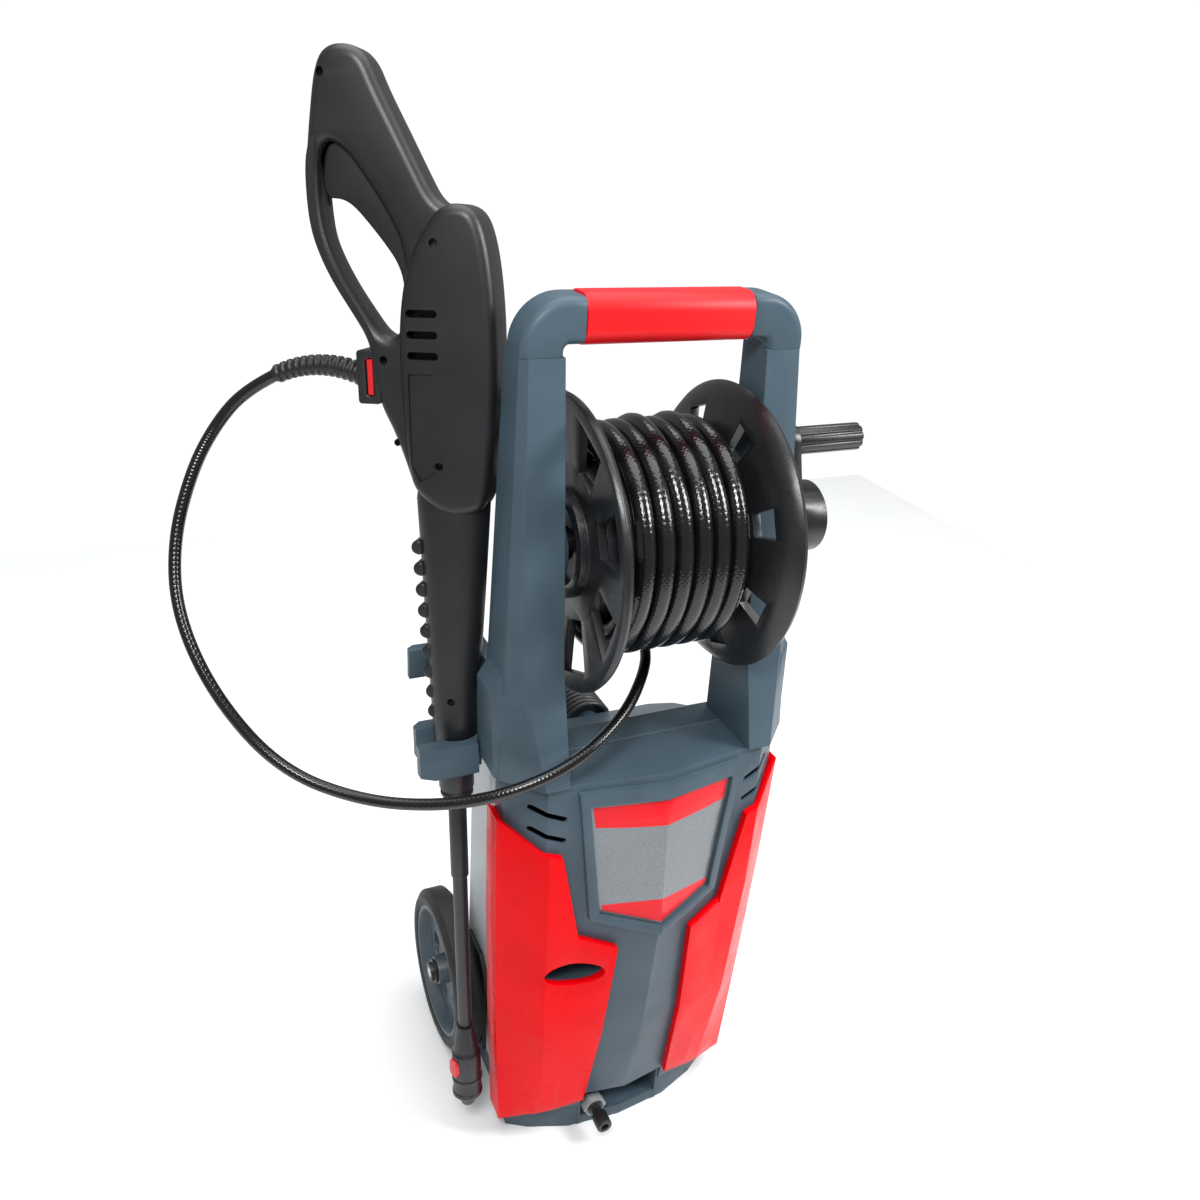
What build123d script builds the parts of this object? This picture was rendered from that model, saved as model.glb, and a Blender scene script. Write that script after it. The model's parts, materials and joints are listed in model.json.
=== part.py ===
from build123d import *
from math import cos, sin, tan, radians, pi
import os

os.makedirs("parts", exist_ok=True)

# ---------------------------------------------------------------- driving dimensions (mm)
# +Z up, the front faces -Y, the origin lies under the middle of the base on the ground.
body_top = 492.0            # flat top of the housing
base_height = 34.0          # height of the base tray
shoulder_half = 146.0       # half width of the housing at its shoulders
rear_half = 122.0           # half width of the housing between the wheels
housing_back = 112.0        # rearmost face of the housing
seam_y = -46.0              # plane where front and rear shell meet
wall = 3.0                  # moulded wall of the shells
seam_gap = 0.2              # gap at every shut line of the housing
tray_wall = 3.0             # wall of the base tray

handle_height = 916.0       # top of the carrying handle
upright_inner = 95.0        # inner face of the handle's uprights
bar_size = 40.0             # thickness of the handle bar
grip_half = 78.0            # half length of the soft grip
grip_wall = 3.5             # wall of the soft grip

reel_y = -16.0              # reel axis
reel_z = 696.0
flange_radius = 136.0
flange_left_x = -82.0       # outer face of the left flange
flange_right_x = 91.0       # outer face of the right flange
drum_radius = 70.0
winding_radius = 108.0      # outside of the wound hose
reel_shaft_radius = 11.0
shaft_clearance = 0.05      # running fit of every shaft and pin

wheel_radius = 96.0
wheel_width = 33.0
wheel_y = 100.0
wheel_inner_x = 128.5       # inner side of the wheels
axle_radius = 6.0

gun_lean = 7.8              # the stored gun leans back with the handle, degrees
gun_yaw = 35.0              # its grip points left and to the back, degrees
gun_half = 19.0             # half thickness of the gun body
fore_radius = 20.0          # lower end of the gun's fore-end, in the holder
collar_pos = (-149.3 - fore_radius, 0.8, body_top - 30.3)
lance_radius = 7.5
hose_radius = 5.5           # free lance hose
cord_radius = 3.5           # mains lead

crank_x = 147.0             # inner face of the crank arm
crank_radius = 76.0         # reel axis to crank grip axis
crank_angle = 85.0          # direction of the crank arm, degrees from +Y towards +Z

inlet_x = -33.0
inlet_z = 30.5
inlet_body_radius = 9.0
recess_half = 47.0          # recess of the inlet, between the side panels
recess_floor = 14.0
recess_roof = 52.0
recess_back = -62.0


def front_half(depth, half, lean, grow):
    """Corners of the right half of the housing's front, from the prow to the side."""
    return [
        (0.0, -depth - grow),
        (84.0, -depth + lean - grow),
        (half - 32.0, -depth + lean + 4.0 - grow),
        (half + grow, -78.0 + 8.0 - 0.4 * grow),
    ]


def housing(grow, z_low, z_high):
    """Loft of the whole housing, offset outwards by grow, between two heights."""
    stations = [
        (z_low, 97.0, 12.0, shoulder_half - 14.0),
        (body_top - 312.0, 122.0, 20.0, shoulder_half - 7.0),
        (body_top - 167.0, 132.0, 26.0, shoulder_half - 2.0),
        (body_top - 42.0, 121.0, 17.0, shoulder_half),
        (z_high, 112.0, 11.0, shoulder_half),
    ]
    with BuildPart() as shape:
        for height, depth, lean, half in stations:
            right = front_half(depth, half, lean, grow)
            right += [
                (half + grow, -30.0),
                (rear_half + grow, 8.0),
                (rear_half + grow, housing_back - 22.0),
                (rear_half - 20.0, housing_back + grow),
            ]
            left = [(-x, y) for x, y in reversed(right[1:])]
            with BuildSketch(Plane.XY.offset(height)):
                with BuildLine():
                    Polyline(*right, *left, close=True)
                make_face()
        loft(ruled=True)
    return shape.part


def front_prism(points, depth=260.0):
    """Prism along Y behind an outline drawn in the XZ plane, for cutting shapes in the front."""
    with BuildPart() as prism:
        with BuildSketch(Plane.XZ.offset(depth)):
            with BuildLine():
                Polyline(*points, close=True)
            make_face()
        extrude(amount=-depth - seam_y)
    return prism.part


def half_space(low_y, high_y, low_z=-50.0, high_z=700.0):
    with BuildPart() as region:
        with BuildSketch(Plane.XZ.offset(-high_y)):
            with Locations((0, (low_z + high_z) / 2)):
                Rectangle(700, high_z - low_z)
        extrude(amount=high_y - low_y)
    return region.part


skin = housing(0.0, base_height, body_top)
cavity = housing(-wall, base_height - 1.0, body_top - wall)

# ---------------------------------------------------------------- red side panels
panel_proud = 8.0
panel_outline = [
    (100.0, body_top - 75.0), (118.0, body_top - 70.0), (152.0, body_top - 43.0), (200.0, body_top - 22.0),
    (200.0, 28.0), (137.0, 34.5), (112.0, 42.0), (51.0, 55.0), (41.0, body_top - 192.0),
    (80.0, body_top - 176.0),
]
panel_shell = housing(panel_proud, base_height, body_top)
window_x = -81.0
window_z = 268.0
window_half_width = 30.0
window_half_height = 15.0

for side, name in ((-1, "side_panel_left"), (1, "side_panel_right")):
    outline = [(side * x, z) for x, z in panel_outline]
    with BuildPart() as side_panel:
        add(panel_shell)
        add(front_prism(outline), mode=Mode.INTERSECT)
        add(skin, mode=Mode.SUBTRACT)
        if side < 0:
            with BuildSketch(Plane.XZ.offset(200)):
                with Locations((window_x, window_z)):
                    Ellipse(window_half_width, window_half_height)
            extrude(amount=-180, mode=Mode.SUBTRACT)
    side_panel.part.label = name
    export_step(side_panel.part, "parts/" + name + ".step")

# ---------------------------------------------------------------- shield label and its raised frame
label_top = body_top - 22.0
label_corner = body_top - 149.0
label_tip = body_top - 167.0
label_outline = [(-76.0, label_top), (76.0, label_top), (61.0, label_corner), (0.0, label_tip),
                 (-61.0, label_corner)]
frame_outline = [(-86.0, label_top + 14.0), (86.0, label_top + 14.0), (70.0, label_corner - 7.0),
                 (0.0, label_tip - 11.0), (-70.0, label_corner - 7.0)]
label_gap = 0.995           # the label is this share of its bed
label_middle = (label_top + label_tip) / 2
label_lift = 2.0
frame_lift = 6.0

with BuildPart() as label_plate:
    add(housing(label_lift, base_height, body_top))
    add(front_prism([(label_gap * x, label_middle + label_gap * (z - label_middle))
                     for x, z in label_outline]), mode=Mode.INTERSECT)
    add(skin, mode=Mode.SUBTRACT)
label_plate.part.label = "label_plate"
export_step(label_plate.part, "parts/label_plate.step")

# ---------------------------------------------------------------- front shell
pocket_back = -66.0         # floor of the cup that holds the main switch
cup_depth = 89.0
cup_wall = 3.0
switch_shaft_radius = 6.0
slot_size = (36.0, 6.0)
slot_x = 112.0
slot_drop = 30.0            # top slot below the housing's top
slot_pitch = 24.0
slot_slant = 22.0

with BuildPart() as switch_cup:
    with BuildSketch(Plane.XZ.offset(-pocket_back)):
        with Locations((window_x, window_z)):
            Ellipse(window_half_width + 2 + cup_wall, window_half_height + 2 + cup_wall)
    extrude(amount=cup_depth)
    add(skin, mode=Mode.INTERSECT)

with BuildPart() as front_shell:
    add(housing(frame_lift, base_height, body_top))
    add(front_prism(frame_outline), mode=Mode.INTERSECT)
    add(front_prism(label_outline), mode=Mode.SUBTRACT)
    add(skin)
    add(half_space(-300.0, seam_y), mode=Mode.INTERSECT)
    add(cavity, mode=Mode.SUBTRACT)
    # cup of the main switch behind the window of the left panel
    add(switch_cup.part)
    with BuildSketch(Plane.XZ.offset(-pocket_back + wall)):
        with Locations((window_x, window_z)):
            Ellipse(window_half_width + 2, window_half_height + 2)
    extrude(amount=120.0, mode=Mode.SUBTRACT)
    with BuildSketch(Plane.XZ.offset(-pocket_back - 10)):
        with Locations((window_x, window_z)):
            Circle(switch_shaft_radius + shaft_clearance)
    extrude(amount=30.0, mode=Mode.SUBTRACT)
    # opening round the inlet recess
    with BuildSketch(Plane.XY):
        with Locations((0, recess_back - 30 + tray_wall + seam_gap)):
            Rectangle(2 * (recess_half + tray_wall + seam_gap), 60)
    extrude(amount=recess_roof + tray_wall + seam_gap, mode=Mode.SUBTRACT)
    # two air slots on each shoulder
    for side in (-1, 1):
        for row in (0, 1):
            slot_z = body_top - slot_drop - slot_pitch * row
            with BuildSketch(Plane.XZ.offset(200)):
                with Locations(Location((side * slot_x, slot_z, 0), (0, 0, side * slot_slant))):
                    SlotOverall(*slot_size)
            extrude(amount=-150, mode=Mode.SUBTRACT)
front_shell.part.label = "front_shell"
export_step(front_shell.part, "parts/front_shell.step")

# ---------------------------------------------------------------- rear shell
rear_slope_front = -14.0    # the top falls away behind this line
rear_low_top = body_top - 92.0

with BuildPart() as rear_cut:
    with BuildSketch(Plane.YZ.offset(-250)):
        with BuildLine():
            Polyline((rear_slope_front, body_top + 1), (60.0, body_top - 52.0),
                     (housing_back + 30, rear_low_top), (housing_back + 30, body_top + 1), close=True)
        make_face()
    extrude(amount=500)

with BuildPart() as rear_inside:
    add(cavity)
    add(Pos(0, 0, -wall) * rear_cut.part, mode=Mode.SUBTRACT)

pipe_x = -118.0             # pressure pipe, up through the foot of the left upright
pipe_y = -34.0
pipe_radius = 5.0
pipe_hole_gap = 1.0         # round the pressure pipe
gland_x = 70.0
gland_z = 120.0
gland_radius = 8.0

with BuildPart() as rear_shell:
    add(skin)
    add(half_space(seam_y + seam_gap, 300.0), mode=Mode.INTERSECT)
    add(rear_cut.part, mode=Mode.SUBTRACT)
    add(rear_inside.part, mode=Mode.SUBTRACT)
    with BuildSketch(Plane.XY.offset(body_top + 1)):
        with Locations((pipe_x, pipe_y)):
            Circle(pipe_radius + pipe_hole_gap)
    extrude(amount=-20, mode=Mode.SUBTRACT)
    with BuildSketch(Plane.XZ.offset(-housing_back - 1)):
        with Locations((gland_x, gland_z)):
            Circle(gland_radius + shaft_clearance)
    extrude(amount=20, mode=Mode.SUBTRACT)
    with BuildSketch(Plane.YZ.offset(-200)):
        with Locations((wheel_y, wheel_radius)):
            Circle(axle_radius + 1.5)
    extrude(amount=400, mode=Mode.SUBTRACT)
rear_shell.part.label = "rear_shell"
export_step(rear_shell.part, "parts/rear_shell.step")

# ---------------------------------------------------------------- base tray
tray_plan = [
    (0.0, -93.0), (60.0, -87.0), (104.0, -71.0), (125.0, -58.0), (125.0, -20.0),
    (rear_half - 1.0, 8.0), (rear_half - 1.0, 90.0), (100.0, 108.0),
]

with BuildPart() as base_tray:
    with BuildSketch() as tray_outline:
        with BuildLine():
            Polyline(*tray_plan, *[(-x, y) for x, y in reversed(tray_plan[1:])], close=True)
        make_face()
    extrude(amount=base_height - seam_gap)
    with BuildSketch(Plane.XY.offset(tray_wall)):
        add(tray_outline.sketch)
        offset(amount=-tray_wall, kind=Kind.INTERSECTION, mode=Mode.REPLACE)
    extrude(amount=base_height, mode=Mode.SUBTRACT)
    # recess for the water inlet, with its own walls up into the front shell
    with BuildSketch(Plane.XY):
        with Locations((0, (recess_back - 92) / 2 + tray_wall)):
            Rectangle(2 * recess_half + 2 * tray_wall, -92 - recess_back)
    extrude(amount=recess_roof + tray_wall)
    with BuildSketch(Plane.XY.offset(recess_floor)):
        with Locations((0, recess_back - 30)):
            Rectangle(2 * recess_half, 60)
    extrude(amount=recess_roof - recess_floor, mode=Mode.SUBTRACT)
    with BuildSketch(Plane.XZ.offset(-recess_back - 10)):
        with Locations((inlet_x, inlet_z)):
            Circle(inlet_body_radius + shaft_clearance)
    extrude(amount=20, mode=Mode.SUBTRACT)
base_tray.part.label = "base_tray"
export_step(base_tray.part, "parts/base_tray.step")

# ---------------------------------------------------------------- water inlet
inlet_tip_y = -124.0
spigot_radius = 8.7         # end that the supply coupling pushes onto
inlet_bore_radius = 4.5
filter_wall = 1.0
filter_gap = 0.1
nut_radius = 13.5
nut_length = 11.0
nut_y = -86.0
nut_lobes = 6

with BuildPart() as inlet_connector:
    with BuildSketch(Plane.XY.offset(inlet_z)):
        with BuildLine():
            Polyline((inlet_x, -52), (inlet_x + inlet_body_radius, -52), (inlet_x + inlet_body_radius, -99),
                     (inlet_x + 6.0, -100), (inlet_x + 6.0, -106), (inlet_x + spigot_radius, -107),
                     (inlet_x + spigot_radius, inlet_tip_y + 1), (inlet_x + spigot_radius - 1, inlet_tip_y),
                     (inlet_x, inlet_tip_y), close=True)
        make_face()
    revolve(axis=Axis((inlet_x, 0, inlet_z), (0, 1, 0)))
    with BuildSketch(Plane.XZ.offset(-inlet_tip_y + 1)):
        with Locations((inlet_x, inlet_z)):
            Circle(inlet_bore_radius)
    extrude(amount=-80, mode=Mode.SUBTRACT)
inlet_connector.part.label = "inlet_connector"
export_step(inlet_connector.part, "parts/inlet_connector.step")

with BuildPart() as inlet_nut:
    with BuildSketch(Plane.XZ.offset(-nut_y)):
        with Locations((inlet_x, inlet_z)):
            Circle(nut_radius - 1.5)
            with PolarLocations(nut_radius - 2.5, nut_lobes):
                Circle(2.6)
            Circle(inlet_body_radius + shaft_clearance, mode=Mode.SUBTRACT)
    extrude(amount=nut_length)
inlet_nut.part.label = "inlet_nut"
export_step(inlet_nut.part, "parts/inlet_nut.step")

with BuildPart() as inlet_filter:
    with BuildSketch(Plane.XZ.offset(60)):
        with Locations((inlet_x, inlet_z)):
            Circle(inlet_bore_radius - filter_gap)
            Circle(inlet_bore_radius - filter_gap - filter_wall, mode=Mode.SUBTRACT)
    extrude(amount=50)
inlet_filter.part.label = "inlet_filter"
export_step(inlet_filter.part, "parts/inlet_filter.step")

# ---------------------------------------------------------------- motor and pump inside the housing
drive_x = 12.0
drive_y = 18.0
pump_width = 104.0
pump_depth = 96.0
pump_top = 112.0
head_width = 28.0
head_depth = 70.0
head_x = drive_x - pump_width / 2 - head_width / 2 - seam_gap
head_low = 40.0
head_height = 60.0
motor_top = 268.0
motor_radius = 52.0
shaft_radius = 6.0
shaft_low = 31.0
fan_radius = 46.0
fan_lift = 4.0              # motor's top to the fan's plate
fan_plate = 3.0
fan_blades = 9
blade_height = 14.0

with BuildPart() as pump_block:
    with BuildSketch(Plane.XY.offset(tray_wall)):
        with Locations((drive_x, drive_y)):
            RectangleRounded(pump_width, pump_depth, 12)
    extrude(amount=pump_top - tray_wall)
    with BuildSketch(Plane.XY.offset(shaft_low - 1)):
        with Locations((drive_x, drive_y)):
            Circle(shaft_radius + shaft_clearance)
    extrude(amount=100, mode=Mode.SUBTRACT)
pump_block.part.label = "pump_block"
export_step(pump_block.part, "parts/pump_block.step")

with BuildPart() as pump_head:
    with BuildSketch(Plane.XY.offset(head_low)):
        with Locations((head_x, drive_y)):
            RectangleRounded(head_width, head_depth, 5)
    extrude(amount=head_height)
    with BuildSketch(Plane.XY.offset(head_low + head_height + 1)):
        with Locations((head_x, drive_y)):
            Circle(6)
    extrude(amount=-40, mode=Mode.SUBTRACT)
pump_head.part.label = "pump_head"
export_step(pump_head.part, "parts/pump_head.step")

with BuildPart() as motor:
    with BuildSketch(Plane.XY.offset(pump_top)):
        with Locations((drive_x, drive_y)):
            Circle(motor_radius)
            Circle(shaft_radius + shaft_clearance, mode=Mode.SUBTRACT)
    extrude(amount=motor_top - pump_top)
motor.part.label = "motor"
export_step(motor.part, "parts/motor.step")

with BuildPart() as motor_shaft:
    with BuildSketch(Plane.XY.offset(shaft_low)):
        with Locations((drive_x, drive_y)):
            Circle(shaft_radius)
    extrude(amount=motor_top + fan_lift + fan_plate + blade_height + 5 - shaft_low)
motor_shaft.part.label = "motor_shaft"
export_step(motor_shaft.part, "parts/motor_shaft.step")

with BuildPart() as motor_fan:
    with BuildSketch(Plane.XY.offset(motor_top + fan_lift)):
        with Locations((drive_x, drive_y)):
            Circle(fan_radius)
            Circle(shaft_radius, mode=Mode.SUBTRACT)
    extrude(amount=fan_plate)
    with BuildSketch(Plane.XY.offset(motor_top + fan_lift + fan_plate)):
        with Locations((drive_x, drive_y)):
            Circle(shaft_radius + 5)
            Circle(shaft_radius, mode=Mode.SUBTRACT)
    extrude(amount=blade_height)
    with BuildSketch(Plane.XY.offset(motor_top + fan_lift + fan_plate)):
        with Locations((drive_x, drive_y)):
            with PolarLocations(fan_radius / 2 + 6, fan_blades):
                Rectangle(fan_radius - 16, 2)
    extrude(amount=blade_height)
motor_fan.part.label = "motor_fan"
export_step(motor_fan.part, "parts/motor_fan.step")

# ---------------------------------------------------------------- main switch in its cup
switch_size = 34.0
switch_body_depth = 24.0
switch_shaft_length = 18.0
knob_disc_radius = 13.0
knob_disc_height = 9.0      # the disc, and the bar across it
with BuildPart() as switch_body:
    with BuildSketch(Plane.XZ.offset(-pocket_back)):
        with Locations((window_x, window_z)):
            Rectangle(switch_size, switch_size)
            Circle(switch_shaft_radius + shaft_clearance, mode=Mode.SUBTRACT)
    extrude(amount=-switch_body_depth)
switch_body.part.label = "switch_body"
export_step(switch_body.part, "parts/switch_body.step")

knob_front = pocket_back - wall - 0.3   # 0.3 mm in front of the cup's floor
with BuildPart() as switch_knob:
    with BuildSketch(Plane.XZ.offset(-knob_front)):
        with Locations((window_x, window_z)):
            Circle(knob_disc_radius)
    extrude(amount=knob_disc_height)
    with BuildSketch(Plane.XZ.offset(-knob_front + knob_disc_height)):
        with Locations((window_x, window_z)):
            SlotOverall(2 * knob_disc_radius - 1, 7)
    extrude(amount=knob_disc_height)
    with BuildSketch(Plane.XZ.offset(-knob_front)):
        with Locations((window_x, window_z)):
            Circle(switch_shaft_radius)
    extrude(amount=-switch_shaft_length)
switch_knob.part.label = "switch_knob"
export_step(switch_knob.part, "parts/switch_knob.step")

# ---------------------------------------------------------------- handle
top_y = -19.0
upright_top = handle_height - 48.0
upright_outer = 133.0
bar_foot = upright_top + 0.2
upright_stations = [
    (body_top + seam_gap, 152.0, -104.0, -19.0, 33.0),
    (body_top + 108.0, 146.0, -74.0, -15.0, 12.0),
    (upright_top, upright_outer, -39.0, 1.0, 6.0),
]
foot_outer = 157.0
foot_stations = [
    (body_top + seam_gap, foot_outer - 2.0, -98.0, -19.0, 33.0),
    (body_top + 84.0, foot_outer, -76.0, -19.0, 20.0),
    (body_top + 100.0, foot_outer - 10.0, -72.0, -19.0, 18.0),
]
bar_z = handle_height - bar_size / 2
bar_x = (upright_inner + upright_outer) / 2
boss_radius = 34.0
bush_radius = 15.0
prong_z = body_top + 54.0   # prong on the left upright, behind the stored gun
prong_height = 30.0
prong_back = 51.0
prong_wall = 12.0
prong_tip = -204.0
socket_depth = 21.0         # blind socket of the left bush
pipe_end = reel_z - boss_radius - 32.0

for side, name in ((-1, "upright_left"), (1, "upright_right")):
    with BuildPart() as upright:
        for height, outer, front, back, cut in upright_stations:
            with BuildSketch(Plane.XY.offset(height)):
                with BuildLine():
                    Polyline((side * upright_inner, front), (side * (outer - cut), front),
                             (side * outer, front + cut), (side * outer, back),
                             (side * upright_inner, back), close=True)
                make_face()
        loft(ruled=True)
        for height, outer, front, back, cut in foot_stations:
            with BuildSketch(Plane.XY.offset(height)):
                with BuildLine():
                    Polyline((side * upright_inner, front), (side * (outer - cut), front),
                             (side * outer, front + cut), (side * outer, back),
                             (side * upright_inner, back), close=True)
                make_face()
        loft(ruled=True)
        with BuildSketch(Plane.YZ.offset(side * (upright_inner - 1))):
            with Locations((reel_y, reel_z)):
                Circle(bush_radius)
        extrude(amount=side * (socket_depth if side < 0 else 80), mode=Mode.SUBTRACT)
        if side < 0:
            with BuildSketch(Plane.XY.offset(body_top)):
                with Locations((pipe_x, pipe_y)):
                    Circle(pipe_radius + pipe_hole_gap)
            extrude(amount=pipe_end + 2 - body_top, mode=Mode.SUBTRACT)
            # prong behind the stored gun
            with BuildSketch(Plane.XY.offset(prong_z)):
                with BuildLine():
                    Polyline((-128, -25), (-128, prong_back), (prong_tip + 6, prong_back),
                             (prong_tip, prong_back - 5), (prong_tip, prong_back - prong_wall),
                             (-141, prong_back - prong_wall), (-141, -25), close=True)
                make_face()
            extrude(amount=prong_height)
    upright.part.label = name
    export_step(upright.part, "parts/" + name + ".step")

grip_end_gap = 0.1
grip_core = bar_size - 2 * grip_wall
with BuildPart() as handle_bar:
    with BuildLine():
        FilletPolyline((-bar_x, top_y, bar_foot), (-bar_x, top_y, bar_z), (bar_x, top_y, bar_z),
                       (bar_x, top_y, bar_foot), radius=24)
    with BuildSketch(Plane((-bar_x, top_y, bar_foot), x_dir=(1, 0, 0), z_dir=(0, 0, 1))):
        RectangleRounded(38.0, bar_size, 8)
    sweep()
    with BuildSketch(Plane.YZ.offset(-grip_half - grip_end_gap)):
        with Locations((top_y, bar_z)):
            Rectangle(bar_size + 10, bar_size + 10)
            RectangleRounded(grip_core, grip_core, 10, mode=Mode.SUBTRACT)
    extrude(amount=2 * (grip_half + grip_end_gap), mode=Mode.SUBTRACT)
handle_bar.part.label = "handle_bar"
export_step(handle_bar.part, "parts/handle_bar.step")

with BuildPart() as handle_grip:
    with BuildSketch(Plane.YZ.offset(-grip_half)):
        with Locations((top_y, bar_z)):
            RectangleRounded(bar_size + 2, bar_size + 2, 15)
            RectangleRounded(grip_core + 2 * shaft_clearance, grip_core + 2 * shaft_clearance,
                             10 + shaft_clearance, mode=Mode.SUBTRACT)
    extrude(amount=2 * grip_half)
handle_grip.part.label = "handle_grip"
export_step(handle_grip.part, "parts/handle_grip.step")

pipe_low = 120.0
with BuildPart() as pressure_pipe:
    with BuildSketch(Plane.XY.offset(pipe_low)):
        with Locations((pipe_x, pipe_y)):
            Circle(pipe_radius)
            Circle(pipe_radius - 1.5, mode=Mode.SUBTRACT)
    extrude(amount=pipe_end - pipe_low)
pressure_pipe.part.label = "pressure_pipe"
export_step(pressure_pipe.part, "parts/pressure_pipe.step")

# ---------------------------------------------------------------- hose reel
reel_axis = Axis((0, reel_y, reel_z), (1, 0, 0))
reel_section = Plane((0, reel_y, reel_z), x_dir=(1, 0, 0), z_dir=(0, -1, 0))


def turned(points):
    """Ring turned about the reel axis from (x, radius) points."""
    with BuildPart() as ring:
        with BuildSketch(reel_section):
            with BuildLine():
                Polyline(*points, close=True)
            make_face()
        revolve(axis=reel_axis)
    return ring.part


bush_bore = reel_shaft_radius + shaft_clearance
shaft_end_x = crank_x + 9.0
with BuildPart() as reel_bush_left:
    add(turned([(-113, bush_bore), (-84.5, bush_bore), (-84.5, boss_radius - 4), (-87, boss_radius),
                (-upright_inner, boss_radius), (-upright_inner, bush_radius), (-113, bush_radius)]))
reel_bush_left.part.label = "reel_bush_left"
export_step(reel_bush_left.part, "parts/reel_bush_left.step")

with BuildPart() as reel_bush_right:
    add(turned([(92, bush_bore), (143, bush_bore), (143, bush_radius), (upright_inner, bush_radius),
                (upright_inner, 22), (92, 22)]))
reel_bush_right.part.label = "reel_bush_right"
export_step(reel_bush_right.part, "parts/reel_bush_right.step")

with BuildPart() as reel_drum:
    add(turned([(-112, 0), (shaft_end_x, 0), (shaft_end_x, reel_shaft_radius), (62, reel_shaft_radius),
                (62, drum_radius), (-66, drum_radius), (-66, reel_shaft_radius), (-112, reel_shaft_radius)]))
reel_drum.part.label = "reel_drum"
export_step(reel_drum.part, "parts/reel_drum.step")

window_count = 8            # windows in each flange
left_window = (70.0, 118.0, 14.0, 24.0)     # inner and outer radius, half width at each
right_window = (88.0, 113.0, 10.0, 14.0)
flange_zone = 30.0          # the flanges lie within this, measured along the reel


def windows(x, inner, outer, half_inner, half_outer):
    """Ring of trapezoid windows through a flange, as a cutter."""
    with BuildPart() as cutter:
        for number in range(window_count):
            angle = radians((number + 0.5) * 360 / window_count)
            spoke_plane = Plane((x, reel_y, reel_z), x_dir=(0, cos(angle), sin(angle)), z_dir=(1, 0, 0))
            with BuildSketch(spoke_plane):
                with BuildLine():
                    Polyline((inner, -half_inner), (outer, -half_outer), (outer, half_outer),
                             (inner, half_inner), close=True)
                make_face()
            extrude(amount=flange_zone)
    return cutter.part


with BuildPart() as reel_flange_left:
    add(turned([(-66.2, reel_shaft_radius + 4), (-66.2, 74), (-72, 126), (-74, 134), (-78, flange_radius),
                (flange_left_x, 134), (flange_left_x + 2, 124), (-74, 74), (-74, 50), (flange_left_x, 50),
                (flange_left_x, 38), (-74, 38), (-74, reel_shaft_radius + 4)]))
    add(windows(-95.0, *left_window), mode=Mode.SUBTRACT)
reel_flange_left.part.label = "reel_flange_left"
export_step(reel_flange_left.part, "parts/reel_flange_left.step")

with BuildPart() as reel_flange_right:
    add(turned([(62.2, reel_shaft_radius + 4), (62.2, 74), (74, 122), (80, 131), (86, flange_radius),
                (flange_right_x, 133), (84, 124), (70, 74), (70, 40), (88, 40), (88, 26), (70, 26),
                (70, reel_shaft_radius + 4)]))
    add(windows(60.0, *right_window), mode=Mode.SUBTRACT)
reel_flange_right.part.label = "reel_flange_right"
export_step(reel_flange_right.part, "parts/reel_flange_right.step")

with BuildPart() as hose_winding:
    add(turned([(-65.9, drum_radius + 0.2), (61.9, drum_radius + 0.2), (61.9, 80), (60, winding_radius),
                (-62, winding_radius), (-65.9, 80)]))
hose_winding.part.label = "hose_winding"
export_step(hose_winding.part, "parts/hose_winding.step")

# ---------------------------------------------------------------- crank
crank_thickness = 10.0
crank_hub_radius = 34.0
crank_tip_radius = 17.0
crank_cap_radius = 35.0     # round cap over the end of the shaft
crank_cap_depth = 27.0
knob_radius = 13.5
knob_length = 75.0
knob_wall = 5.0             # closed outer end of the knob
knob_flutes = 10
flute_radius = 2.2
knob_gap = 0.5              # between the arm and the knob
pin_radius = 4.0
knob_y = reel_y + crank_radius * cos(radians(crank_angle))
knob_z = reel_z + crank_radius * sin(radians(crank_angle))
crank_plane = Plane((crank_x, reel_y, reel_z), z_dir=(1, 0, 0),
                    x_dir=(0, cos(radians(crank_angle)), sin(radians(crank_angle))))

with BuildPart() as crank_arm:
    with BuildSketch(crank_plane):
        Circle(crank_hub_radius)
        with Locations((crank_radius, 0)):
            Circle(crank_tip_radius)
        with BuildLine():
            Polyline((0, -crank_hub_radius), (crank_radius, -crank_tip_radius),
                     (crank_radius, crank_tip_radius), (0, crank_hub_radius), close=True)
        make_face()
        Circle(reel_shaft_radius + shaft_clearance, mode=Mode.SUBTRACT)
    extrude(amount=crank_thickness)
    with BuildSketch(crank_plane.offset(crank_thickness)):
        Circle(crank_cap_radius)
    extrude(amount=crank_cap_depth)
    with BuildSketch(crank_plane.offset(crank_thickness)):
        with Locations((crank_radius, 0)):
            Circle(pin_radius)
    extrude(amount=knob_length - knob_wall - 1)
crank_arm.part.label = "crank_arm"
export_step(crank_arm.part, "parts/crank_arm.step")

with BuildPart() as crank_grip:
    with BuildSketch(Plane((crank_x + crank_thickness + knob_gap, knob_y, knob_z), x_dir=(0, 1, 0),
                           z_dir=(1, 0, 0))):
        Circle(knob_radius)
        with PolarLocations(knob_radius + flute_radius / 2, knob_flutes):
            Circle(flute_radius, mode=Mode.SUBTRACT)
    extrude(amount=knob_length)
    with BuildSketch(Plane((crank_x + crank_thickness, knob_y, knob_z), x_dir=(0, 1, 0), z_dir=(1, 0, 0))):
        Circle(pin_radius + shaft_clearance)
    extrude(amount=knob_length - knob_wall, mode=Mode.SUBTRACT)
crank_grip.part.label = "crank_grip"
export_step(crank_grip.part, "parts/crank_grip.step")

# ---------------------------------------------------------------- wheels and axle
hub_radius = 18.0
rim_radius = 78.0
axle_end_x = wheel_inner_x + wheel_width + 6.0
bracket_wall = 5.0
cap_flange = (14.0, 3.0)    # radius and thickness of the wheel caps' foot and head
cap_head = (11.0, 4.5)
cap_sunk = 1.5
rim_windows = 5

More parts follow.
